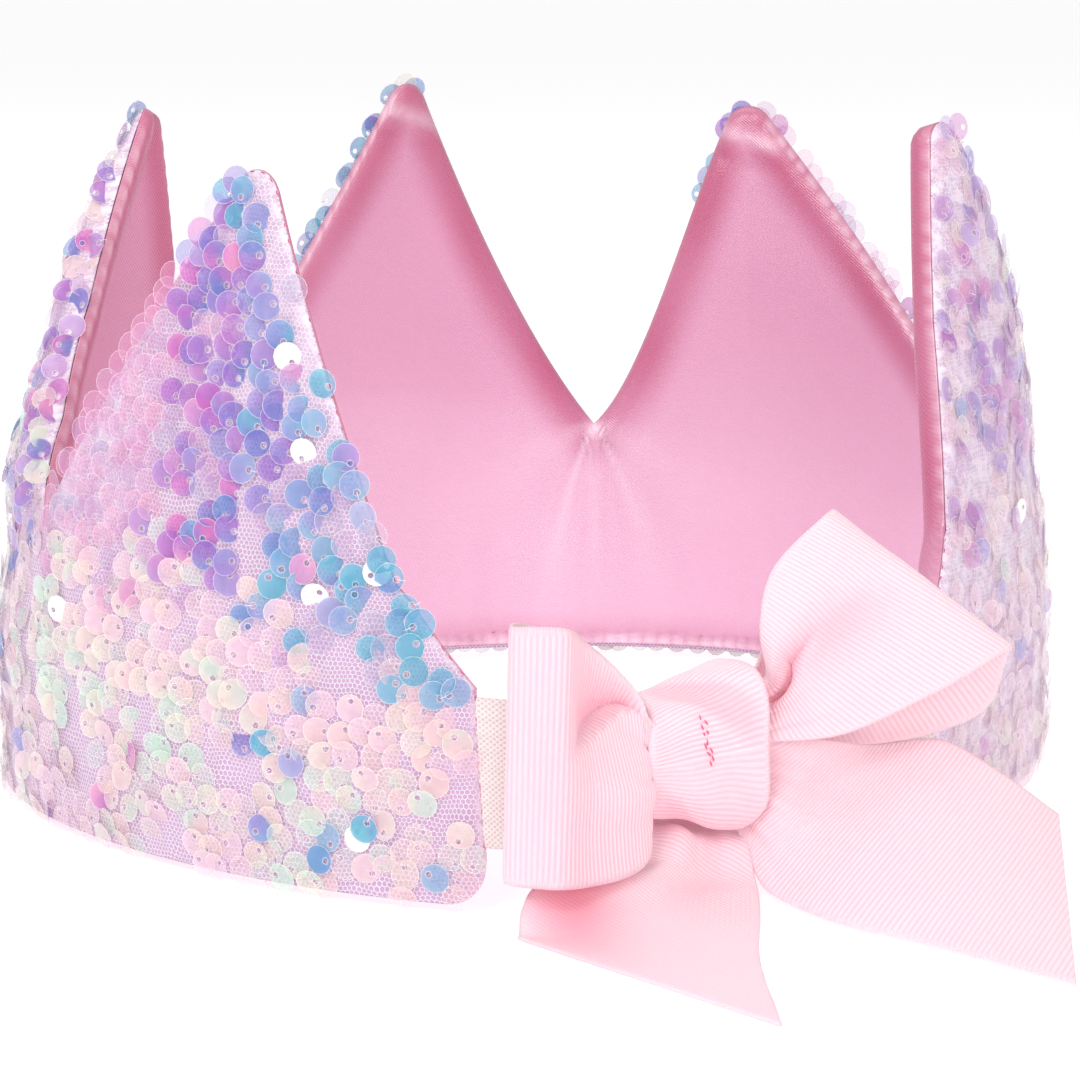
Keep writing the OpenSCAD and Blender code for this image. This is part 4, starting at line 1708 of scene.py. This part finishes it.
@dataclass
class EdgeStitches:
    """Thread along the very edge of the outside, and stitches above the hem of the inside."""

    band: Band
    lining: SatinLining
    edge_pitch: float = 2.3
    edge_off: float = 0.36
    # Stretches of the edge where the thread shows
    shown: tuple = ((0, 46), (129, 134), (394, 401), (426, 441))
    edge_stitch: Stitching = field(default_factory=lambda: Stitching(length=1.4, radius=0.11, rise=0.12))
    hem_stitch: Stitching = field(default_factory=lambda: Stitching(length=1.3, radius=0.17, rise=0.18))

    def edge_line(self, depth: float) -> Array:
        """Upper edge of the strip, moved inwards.

        Args:
            depth: how far inwards.

        Returns:
            Dense points (s, z).
        """
        s = np.linspace(depth, self.band.length - depth, 6000)
        slope = np.gradient(self.band.top(s), s)
        z = self.band.top(s) - depth * np.sqrt(1 + np.minimum(np.abs(slope), 2.4) ** 2)
        upper = np.stack([s, z], 1)
        left = np.stack([np.full(80, depth), np.linspace(8, self.band.outline[0][1] - depth, 80)], 1)
        right = np.stack([np.full(80, self.band.length - depth), left[::-1, 1]], 1)
        return np.vstack([left, upper, right])

    def stitches(
        self, line: Array, off: float, stitch: Stitching, pitch: float, rng: np.random.Generator
    ) -> MeshData:
        """Put stitches along a line on one side of the band.

        Args:
            line: dense points (s, z).
            off: distance outwards from the middle surface. Inside the crown it is below 0.
            stitch: the stitches' shape.
            pitch: distance from stitch to stitch.
            rng: source of the random draws.

        Returns:
            The stitches' mesh.
        """
        walked = walk(line)
        starts = np.arange(1.0, walked[-1] - pitch, pitch)
        starts = starts + rng.normal(0, 0.2, len(starts))
        length = stitch.length * rng.uniform(0.8, 1.2, len(starts))
        ends = []
        for at in (starts, starts + length):
            s = np.interp(at, walked, line[:, 0])
            z = np.interp(at, walked, line[:, 1]) + rng.normal(0, 0.1, len(at))
            ends.append(self.band.point(s, z, np.full_like(s, off)))
        s = np.interp(starts, walked, line[:, 0])
        z = np.interp(starts, walked, line[:, 1])
        out = self.band.frame_at(s, z)[1] * (1 if off > 0 else -1)
        return stitch.along_line(np.stack(ends, 1), out)

    def build(self, material: Material) -> list[Piece]:
        """Make the stitches of the outside and of the inside.

        Args:
            material: the thread finish.

        Returns:
            The two pieces.
        """
        rng = np.random.default_rng(SEED + 1)
        line = self.edge_line(0.2)
        runs = [line[(line[:, 0] >= a) & (line[:, 0] <= b)] for a, b in self.shown]
        made = [self.stitches(run, self.edge_off, self.edge_stitch, self.edge_pitch, rng) for run in runs]
        outer = reduce(MeshData.joined, made)
        s = np.linspace(5, self.band.length - 5, 4000)
        hem = np.stack([s, self.lining.seam(s)], 1)
        at_seam = quarter_round((self.lining.seam_z - self.lining.hem_inset) / self.lining.roll)
        depth = self.lining.edge_depth + self.lining.depth * float(at_seam)
        off = -(depth - self.lining.seam_depth + 0.25)
        inner = self.stitches(hem, off, self.hem_stitch, self.lining.hem_pitch, rng)
        return [
            outer.build("stitches_outside", material, Slot.NET),
            inner.build("stitches_inside", material, Slot.SATIN),
        ]


# Elastic and bow


@dataclass
class Elastic:
    """Short knitted elastic between the two ends of the band."""

    band: Band
    # Columns: x, y, height of the lower edge, height of the upper edge
    rows: tuple = (
        (32, 2.8, 9.2, 30.4), (28.5, 2.9, 9.0, 29.9), (22, 1.6, 10, 28.6), (14, -0.2, 14.6, 28),
        (5, -0.8, 13.4, 28), (-6, -0.7, 11, 28.6), (-18, -0.2, 8.8, 28.8), (-28, 0.7, 8.8, 29.4),
        (-34, 0.7, 9.1, 30.2),
    )
    low: float = 9.5
    high: float = 30.6
    tuck: float = 6.0
    thickness: float = 0.95
    ribs: int = 9
    rib_rise: float = 0.12

    def build(self, material: Material) -> Piece:
        """Make the elastic: it follows the band where it is tucked in, then its own rows.

        Args:
            material: the knitted finish.

        Returns:
            The piece, with low ribs along it: rib_rise times the cosine of their turn across it.
        """
        w = np.linspace(0, 1, 55)
        in_band = np.array([self.tuck, self.tuck / 2, 0.0])
        s, height = np.meshgrid(in_band, self.low + (self.high - self.low) * w, indexing="ij")
        tucked = self.band.point(s, height, np.zeros_like(s))
        ended = self.band.point(self.band.length - s[::-1], height, np.zeros_like(s))
        rows = smooth_rows(self.rows, np.linspace(0, 1, 121))[:, None]
        low, high = rows[..., [0, 1, 2]], rows[..., [0, 1, 3]]
        middle = np.concatenate([tucked, low + (high - low) * w[None, :, None], ended])
        out = normals(middle)
        rib = self.rib_rise * np.cos(TAU * self.ribs * w)[None, :, None]
        thin = 1 - 0.5 * (1 - quarter_round(np.minimum(w, 1 - w) * 30))[None, :, None]
        half = (self.thickness / 2 + rib) * thin
        walked = walk(middle[:, len(w) // 2])
        width = self.high - self.low
        uv = flat_map(walked, w * width)
        piece = shell(middle + out * half, middle - out * half, uv).build("elastic", material, Slot.ELASTIC)
        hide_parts("elastic_band")
        return piece


def ribbon_tint(tuck: Array, selvedge: Array, flat: Array) -> Array:
    """Colour attribute of a ribbon's two faces.

    Args:
        tuck: share of painted shade, the deeper pink of tucks and recesses.
        selvedge: share of the woven selvedge.
        flat: how far the ribs are pressed flat.

    Returns:
        Four columns for each point: the three shares and 1, for one face and then the other.
    """
    parts = [np.clip(np.broadcast_to(part, tuck.shape), 0, 1).ravel() for part in (tuck, selvedge, flat)]
    return np.tile(np.stack([*parts, np.ones(tuck.size)], 1), (2, 1))


@dataclass
class RibbonPiece:
    """One ribbon of the bow, carried along its sections, with ribs across it.

    Columns of rows: low edge x, y, z, high edge x, y, z, height of the fold, depth of the tuck.
    folds: place of the fold and of the tuck across the ribbon, and the side that the fold is on.
    pleat_line: a sharp pleat's places across the ribbon at its start and end, its depth, and its
    start and end along the ribbon. pressed: distances between which the ribs go flat. shaded: a
    patch of painted shade in the deeper pink, by its place across the ribbon, its distance along
    it, its share and its width across. lean: how much further along the ribs reach the high edge
    than the low one.
    knot_ends: whether the start and the end lie in the knot, from which fine pleats spread.
    """

    name: str
    node: str
    rows: tuple
    folds: tuple
    held: Held
    knot_ends: tuple
    pleat_line: tuple = (0.5, 0.5, 0.0, 0.1, 0.5)
    pressed: tuple = (1000.0, 1001.0)
    shaded: tuple = (0.85, 26.0, 0.0, 0.22)
    lean: float = 0.0
    fold_w: float = 0.16
    thickness: float = 0.62
    rib_pitch: float = 0.8
    rib_rise: float = 0.055
    pleat: float = 0.45
    across: int = 44
    per_rib: int = 4

    def middle(self, share: Array, w: Array) -> Array:
        """Middle surface of the ribbon.

        Args:
            share: places along the ribbon, from 0 to 1.
            w: places across it, from 0 at the low edge to 1 at the high one.

        Returns:
            Grid of points: a straight line between both edges, moved along the section's normal
            by a bump at the fold and a dent at the tuck, each a Gaussian of width fold_w. Just
            above the sharp pleat's line it drops by the pleat's depth, and comes back smoothly
            towards the high edge.
        """
        r = smooth_rows(self.rows, share)
        e = 0.004
        ahead = smooth_rows(self.rows, np.minimum(share + e, 1))
        step = ahead - smooth_rows(self.rows, np.maximum(share - e, 0))
        low, across = r[:, 0:3], r[:, 3:6] - r[:, 0:3]
        fold, tuck, side = self.folds
        out = side * unit(np.cross(step[:, 0:3] + step[:, 3:6], across))
        height = r[:, 6:7] * bell(w - fold, self.fold_w) - r[:, 7:8] * bell(w - tuck, self.fold_w)
        first, last, depth, start, end = self.pleat_line
        share = share[:, None]
        place = first + (last - first) * ease((share - start) / (end - start))
        fade = window(share, start - 0.05, end, 0.08, 0.6 * (end - start))
        above = w - place
        height = height - depth * fade * ease(above / 0.05) * (1 - ease(above / (1.03 - place)))
        return low[:, None] + across[:, None] * w[None, :, None] + out[:, None] * height[..., None]

    def walked(self, grid: Array) -> Array:
        """Distance along the ribbon, blended from its two edges' own lengths.

        Args:
            grid: the ribbon's points.

        Returns:
            The distance at each point.
        """
        low, high = walk(grid[:, 0]), walk(grid[:, -1])
        length = (low[-1] + high[-1]) / 2
        w = np.linspace(0, 1, grid.shape[1])
        return length * ((1 - w) * (low / low[-1])[:, None] + w * (high / high[-1])[:, None])

    def build(self, material: Material) -> Piece:
        """Make the ribbon.

        Args:
            material: the grosgrain finish.

        Returns:
            The piece. Both faces rise and fall by rib_rise times the cosine of the distance
            along the ribbon over the ribs' pitch, but not on the selvedges, and fine pleats
            spread from the knot and fade over about 9 mm.
        """
        w = np.linspace(0, 1, self.across)
        w = 0.8 * w + 0.2 * (1 - np.cos(np.pi * w)) / 2
        even = np.linspace(0, 1, 400)
        first = self.walked(self.middle(even, w))
        length = first[-1].mean()
        count = int(length / self.rib_pitch * self.per_rib)
        grid = self.middle(np.interp(np.linspace(0, length, count), first.mean(1), even), w)
        walked = self.walked(grid)
        run = walked - self.lean * (w - 0.5)[None, :] * ease(walked / 12)
        out = normals(grid)
        from_knot = np.stack([walked, walked[-1].mean() - walked])
        held = np.array(self.knot_ends)[:, None, None]
        near = (np.exp(-np.maximum(from_knot - 5, 0) / 7.0) * held).max(0)
        pleats = np.sin(TAU * 4.5 * w + 0.7) + 0.6 * np.sin(TAU * 8.5 * w + 2.0)
        grid = grid + out * (self.pleat * near * pleats * np.sin(np.pi * w))[..., None]
        out = normals(grid)
        width = float(np.linalg.norm(grid[:, -1] - grid[:, 0], axis=1).max())
        from_edge = np.minimum(w, 1 - w) * width
        plain = ease((from_edge - 0.55) / 0.5)
        pressed = ease((walked - self.pressed[0]) / (self.pressed[1] - self.pressed[0]))
        rib = self.rib_rise * np.cos(TAU * run / self.rib_pitch) * plain * (1 - 0.8 * pressed)
        picot = 0.07 * np.cos(TAU * run / (self.rib_pitch / 2)) * (1 - plain)
        half = (self.thickness / 2) * (0.55 + 0.45 * quarter_round(from_edge / 0.4)) + rib + picot
        uv = np.stack([run, np.broadcast_to(w * width, run.shape)], -1) * MM
        data = shell(grid + out * half[..., None], grid - out * half[..., None], uv)
        plain_form = grid[:, :1] + (grid[:, -1:] - grid[:, :1]) * w[None, :, None]
        height = self.folds[2] * ((grid - plain_form) * out).sum(-1)
        # Painted shade in the deeper pink: where the ribbon is drawn in, beside the knot's pleats, and in
        # the shaded patch
        place, distance, share, wide = self.shaded
        shade = share * bell(w - place, wide) * bell(walked - distance, 11)
        tuck = np.clip(-height / 5.0, 0, 0.5) + 0.3 * near * np.sin(np.pi * w) + shade
        data.tint = ribbon_tint(tuck, 1 - ease((from_edge - 0.7) / 0.25), 0.6 * pressed)
        piece = data.build(self.name, material, Slot.RIBBON)
        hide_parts(self.node)
        return piece


@dataclass
class Knot:
    """Ribbon wrapped once round the middle of the bow and the elastic.

    Columns of rows: left edge x, y, z, right edge x, y, z, going once round from the front.
    """

    rows: tuple = (
        (15.0, 9.5, 20.3, -4.1, 9.8, 21.5), (14.9, 9.3, 23.9, -3.9, 9.6, 28.5),
        (14.0, 7.6, 26.4, -3.0, 7.4, 32.4), (12.2, 2.6, 27.8, -1.6, 2.6, 33),
        (11.4, -1.6, 28.4, -0.5, -1.6, 31.5), (11.2, -3.4, 25.5, 0, -3.4, 27),
        (11.5, -3.6, 20.5, 0, -3.6, 20), (11.8, -3.2, 15.0, 0, -3.2, 13),
        (12.4, -1.0, 12.6, 0.4, -1.0, 10), (13, 3.0, 12.0, 0.2, 3.0, 9.2),
        (14.2, 7.0, 12.8, -1.5, 7.0, 9.0), (14.9, 9.2, 16.0, -4.2, 9.4, 13),
    )
    thickness: float = 0.9
    rib_pitch: float = 0.8
    rib_rise: float = 0.10
    across: int = 33
    per_rib: int = 5
    mark_start: tuple = (7.1, 9.62, 27.0)
    mark_run: tuple = (-1.7, 0.0, -6.6)

    def middle(self, turn: Array, w: Array) -> Array:
        """Outer surface of the knot, by the smooth closed curve through its rows.

        Args:
            turn: places round the knot, from 0 to 1.
            w: places across the ribbon, from 0 at the left to 1 at the right.

        Returns:
            Grid of points, straight between both edges.
        """
        rows = np.array(self.rows, float)
        r = cubic(np.vstack([rows[-1:], rows, rows[:2]]), turn * len(rows))[:, None]
        return r[..., 0:3] + (r[..., 3:6] - r[..., 0:3]) * w[None, :, None]

    def build(self, material: Material) -> Piece:
        """Make the knot.

        Args:
            material: the grosgrain finish.

        Returns:
            The piece. It sags in the middle by a parabola, has soft creases as two sines over
            the turn and the width, and ribs that wobble a little.
        """
        w = np.linspace(0, 1, self.across)
        even = np.linspace(0, 1, 500)
        walked = walk(self.middle(even, w).mean(1))
        length = walked[-1]
        ribs = round(length / self.rib_pitch)
        count = ribs * self.per_rib
        grid = self.middle(np.interp(np.arange(count) * length / count, walked, even), w)
        out = normals(grid, closed=True)
        out = out * np.sign(out[0, self.across // 2, 1])
        angle = (np.arange(count) / count * TAU)[:, None]
        sag = 0.18 * (1 - (2 * w - 1) ** 2)
        crease = 0.35 * np.sin(2 * angle + 5 * w) + 0.25 * np.sin(5 * angle + 9 * w + 1)
        crease = crease * np.sin(np.pi * w)
        wobble = 0.35 * np.sin(TAU * w * 1.7 + 1.0) * np.sin(angle * 3)
        grid = grid + out * (crease - sag)[..., None]
        width = float(np.linalg.norm(grid[0, -1] - grid[0, 0]))
        from_edge = np.minimum(w, 1 - w) * width
        rib = self.rib_rise * np.cos(ribs * angle + TAU * wobble) * ease((from_edge - 0.5) / 0.5)
        lift = rib + (quarter_round(from_edge / 0.6) - 1) * 0.25
        sides = [grid + out * lift[..., None], grid - out * self.thickness]
        uv = flat_map(np.arange(count + 1) * length / count, w * width)
        uv[..., 0] += np.vstack([wobble, wobble[:1]]) * self.rib_pitch * MM
        if np.cross(grid[1, 5] - grid[0, 5], grid[0, 6] - grid[0, 5]) @ out[0, 5] < 0:
            sides.reverse()
        data = shell(*sides, uv, closed=True)
        selvedge = 1 - ease((from_edge - 0.6) / 0.25)
        # Painted shade: deeper pink in the knot's creases
        data.tint = ribbon_tint(np.clip(-crease / 0.8, 0, 0.35), selvedge, np.zeros(1))
        piece = data.build("knot", material, Slot.RIBBON)
        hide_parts("bow_knot")
        return piece

    def stitch_mark(self, material: Material) -> Piece:
        """Make the short slanting row of stitches on the knot's front.

        Args:
            material: the thread finish.

        Returns:
            The piece.
        """
        rng = np.random.default_rng(SEED + 2)
        count = 11
        share = np.linspace(0, 1, count)
        start = np.array(self.mark_start) + np.outer(share, self.mark_run)
        start[:, 0] += 0.25 * (-1.0) ** np.arange(count) + rng.normal(0, 0.08, count)
        start[:, 2] += rng.normal(0, 0.1, count)
        turn = rng.normal(-0.35, 0.2, count)
        end = start + np.stack([turn, np.zeros(count), rng.normal(-0.85, 0.1, count)], 1)
        stitch = Stitching(length=1.0, radius=0.15, rise=0.1)
        data = stitch.along_line(np.stack([start, end], 1), np.tile([0.0, 1.0, 0.0], (count, 1)))
        return data.build("knot_stitch", material, Slot.RIBBON)


@dataclass
class Bow:
    """The ribbon bow: two loops, two tails and the knot. Their tables' columns are RibbonPiece's."""

    knot: Knot = field(default_factory=Knot)
    left_loop: tuple = (
        (9, 7.0, 15, 8.5, 6.2, 25.0, 0.3, 0.3), (14.6, 8.6, 13.4, 14.1, 8.3, 26.8, 0.3, 0.2),
        (15.8, 11.0, 8.4, 15.6, 8.0, 30.4, 0.9, 0.3), (20, 13.4, 6.8, 19.4, 7.8, 34.8, 1.3, 0.4),
        (27, 15.5, 6.8, 25.5, 10.2, 39.5, 0.9, 0.3), (33, 16.5, 7.4, 31.5, 16.0, 43.0, 0, 0),
        (38, 12.0, 7.6, 37, 12.0, 43.0, 0, 0), (34.5, 6.9, 7.0, 33, 6.4, 42.0, 0, 0),
        (25, 5.0, 8.0, 24, 4.2, 38.0, 0, 0.4), (15.5, 3.0, 13.4, 14.6, 2.6, 29, 0.4, 0.4),
        (9, 1.8, 14.8, 8.5, 1.8, 25, 0.3, 0.3),
    )
    right_loop: tuple = (
        (2, 6.0, 21.5, 2, 6.0, 30, 0.4, 0.4), (-5.0, 7.6, 21.4, -5.2, 6.4, 30.8, 0.4, 0.4),
        (-14.5, 13.2, 22.9, -2.6, 8.8, 39, 1.8, 1.2), (-28.5, 16.0, 28.3, -5.5, 7.5, 46.5, 2.0, 2.0),
        (-40, 15.0, 32.4, -14, 7.0, 53, 0, 0), (-42.5, 12.0, 31.0, -17, 4.0, 52.5, 0, 0),
        (-40, 9.0, 22.0, -14, 2.5, 47, 0, 0), (-24.4, 5.4, 18.3, -8, 2.6, 39, 0, 0.4),
        (-10, 2.8, 20.5, -5.5, 2.6, 31, 0.4, 0.4), (2, 1.8, 22.5, 2, 1.8, 29, 0.3, 0.3),
    )
    left_tail: tuple = (
        (-0.5, -5.2, 17, 12.5, -5.2, 18, 0, 0), (-1.2, -5.2, 10.5, 13, -5.0, 12.5, 0, 0),
        (-2.4, -1.5, 8.2, 14, -1.5, 9.0, 0.3, 0.3), (-2.4, 6.0, 7.0, 15, 5.2, 9.2, 1.5, 0.6),
        (-1.4, 10.5, 2.8, 20, 8.2, 6.9, 1.2, 0.8), (0.6, 15, 1.6, 32, 10.2, 6.6, 1.0, 0.8),
        (4.5, 22, 0.9, 36, 12.2, 4.2, 0.5, 0.3), (14, 38, 0.7, 37.3, 13.8, 1.0, 0, 0),
        (24, 60, 0.7, 37.8, 14.4, 0.8, 0, 0),
    )
    right_tail: tuple = (
        (1, 3.9, 13, 0, 4.2, 20, 0.2, 0.2), (-1.8, 5.0, 8.0, -6, 6.8, 21.6, 0.5, 0.5),
        (-2.0, 8.6, 4.0, -13, 9.0, 21.3, 0.8, 0.8), (-1.6, 15, 1.5, -22, 8.2, 19.3, 0.5, 0.5),
        (-4, 29, 0.9, -31, 12.2, 19.8, 0, 0), (-10.4, 43, 0.8, -35.5, 20, 16.6, 0, 0),
        (-17.5, 64, 0.8, -40.5, 28, 11.4, 0, 0),
    )

    def pieces(self) -> list[RibbonPiece]:
        """The four ribbon pieces, with where each one's fold and tuck lie."""
        return [
            RibbonPiece(
                "loop_left", "left_loop", self.left_loop, (0.4, 0.8, -1), Held.FOLDED, (True, True),
                pleat_line=(0.86, 0.48, 3.6, 0.2, 0.5), shaded=(0.5, 33.0, 0.28, 0.9),
            ),
            RibbonPiece(
                "loop_right", "right_loop", self.right_loop, (0.78, 0.58, 1), Held.FOLDED, (True, True),
                pleat_line=(0.42, 0.62, 3.0, 0.1, 0.34),
            ),
            RibbonPiece(
                "tail_left", "left_tail", self.left_tail, (0.64, 0.32, -1), Held.LAID, (True, False),
                pressed=(32.0, 46.0), shaded=(0.8, 50.0, 0.95, 0.22),
            ),
            RibbonPiece(
                "tail_right", "right_tail", self.right_tail, (0.4, 0.7, 1), Held.LAID, (True, False),
                lean=16.0, across=60,
            ),
        ]

    def build(self, ribbon: Material, thread: Material) -> list[Piece]:
        """Make the whole bow.

        Args:
            ribbon: the grosgrain finish.
            thread: the thread finish of the stitch mark.

        Returns:
            Its pieces.
        """
        made = [piece.build(ribbon) for piece in self.pieces()]
        return [*made, self.knot.build(ribbon), self.knot.stitch_mark(thread)]


# Studio


@dataclass
class Studio:
    """Camera, lights and floor. Lengths are in metres here."""

    camera_at: tuple = (0.22435, 0.41563, 0.12938)
    azimuth: float = 153.2
    pitch_down: float = 10.55
    lens: float = 103.14
    sensor: float = 36.0
    floor_size: float = 24.0
    room: float = 0.58
    # Columns: name, azimuth, rise, distance, size, power. The camera stands at azimuth 333
    lights: tuple = (
        ("key", 305, 42, 1.5, 0.6, 7.4), ("front", 350, 22, 1.5, 0.7, 4.5),
        ("fill", 20, 25, 1.5, 0.9, 0.4), ("top", 200, 70, 1.6, 1.2, 5),
    )

    def camera(self) -> None:
        """Place the camera at the photo's own view of the crown."""
        data = bpy.data.cameras.new("camera")
        data.lens = self.lens
        data.sensor_width = data.sensor_height = self.sensor
        data.clip_start = 0.01
        camera = bpy.data.objects.new("camera", data)
        camera.location = self.camera_at
        camera.rotation_euler = (math.radians(90 - self.pitch_down), 0, math.radians(self.azimuth))
        bpy.context.scene.collection.objects.link(camera)
        bpy.context.scene.camera = camera

    def light(
        self, name: str, azimuth: float, rise: float, distance: float, size: float, power: float
    ) -> None:
        """Add a soft square light that faces the crown.

        Args:
            name: the light's name.
            azimuth: where it stands, in degrees from +Y towards -X, as seen from the crown.
            rise: its angle above the floor, in degrees.
            distance: its distance in metres.
            size: its side in metres.
            power: its power in watts.
        """
        data = bpy.data.lights.new(name, "AREA")
        data.size, data.energy = size, power
        light = bpy.data.objects.new(name, data)
        a, e = math.radians(azimuth), math.radians(rise)
        spot = np.array([-math.sin(a) * math.cos(e), math.cos(a) * math.cos(e), math.sin(e)])
        light.location = spot * distance + [0, 0, 0.05]
        light.rotation_euler = (math.radians(90 - rise), 0, a + math.pi)
        bpy.context.scene.collection.objects.link(light)

    def floor(self, material: Material) -> None:
        """Lay the floor at the height of the hem.

        Args:
            material: its material.
        """
        half = self.floor_size / 2
        mesh = bpy.data.meshes.new("floor")
        corners = [(-half, -half, 0), (half, -half, 0), (half, half, 0), (-half, half, 0)]
        mesh.from_pydata(corners, [], [(0, 1, 2, 3)])
        mesh.materials.append(material)
        floor = bpy.data.objects.new("floor", mesh)
        bpy.context.scene.collection.objects.link(floor)

    def world(self) -> None:
        """Fill the room with even white light of strength room, which the camera sees as 1."""
        world = bpy.data.worlds.new("white_room")
        world.use_nodes = True
        nodes = Nodes(world.node_tree)
        background = world.node_tree.nodes["Background"]
        seen = nodes.add("ShaderNodeLightPath").outputs["Is Camera Ray"]
        strength = nodes.math("MULTIPLY_ADD", seen, 1 - self.room, self.room)
        nodes.fill(background, {"Color": (1.0, 1.0, 1.0, 1.0), "Strength": strength})
        bpy.context.scene.world = world

    def build(self) -> None:
        """Set up the whole studio."""
        self.camera()
        self.world()
        self.floor(FloorFinish().material())
        for row in self.lights:
            self.light(*row)
        scene = bpy.context.scene
        scene.view_settings.view_transform = "Standard"
        scene.cycles.transparent_max_bounces = 32


def main() -> None:
    """Build the crown and its studio in order."""
    logging.basicConfig(level=logging.INFO, format="%(message)s")
    Studio().build()
    band = Band()
    panel = NetPanel(band)
    lining = SatinLining(band)
    thread = ThreadFinish().material()
    mark = ThreadFinish("mark_thread", (0.94, 0.45, 0.63), (0.86, 0.32, 0.52)).material()
    clear = ThreadFinish("clear_thread", (0.97, 0.93, 0.96), (0.88, 0.80, 0.88)).material()
    lining.build(SatinFinish().material())
    panel.build(NetFinish().material())
    SequinField(band, panel).build(SequinFinish().material(), clear)
    EdgeStitches(band, lining).build(thread)
    Elastic(band).build(ElasticFinish().material())
    Bow().build(RibbonFinish().material(), mark)


if __name__ == "__main__":
    main()
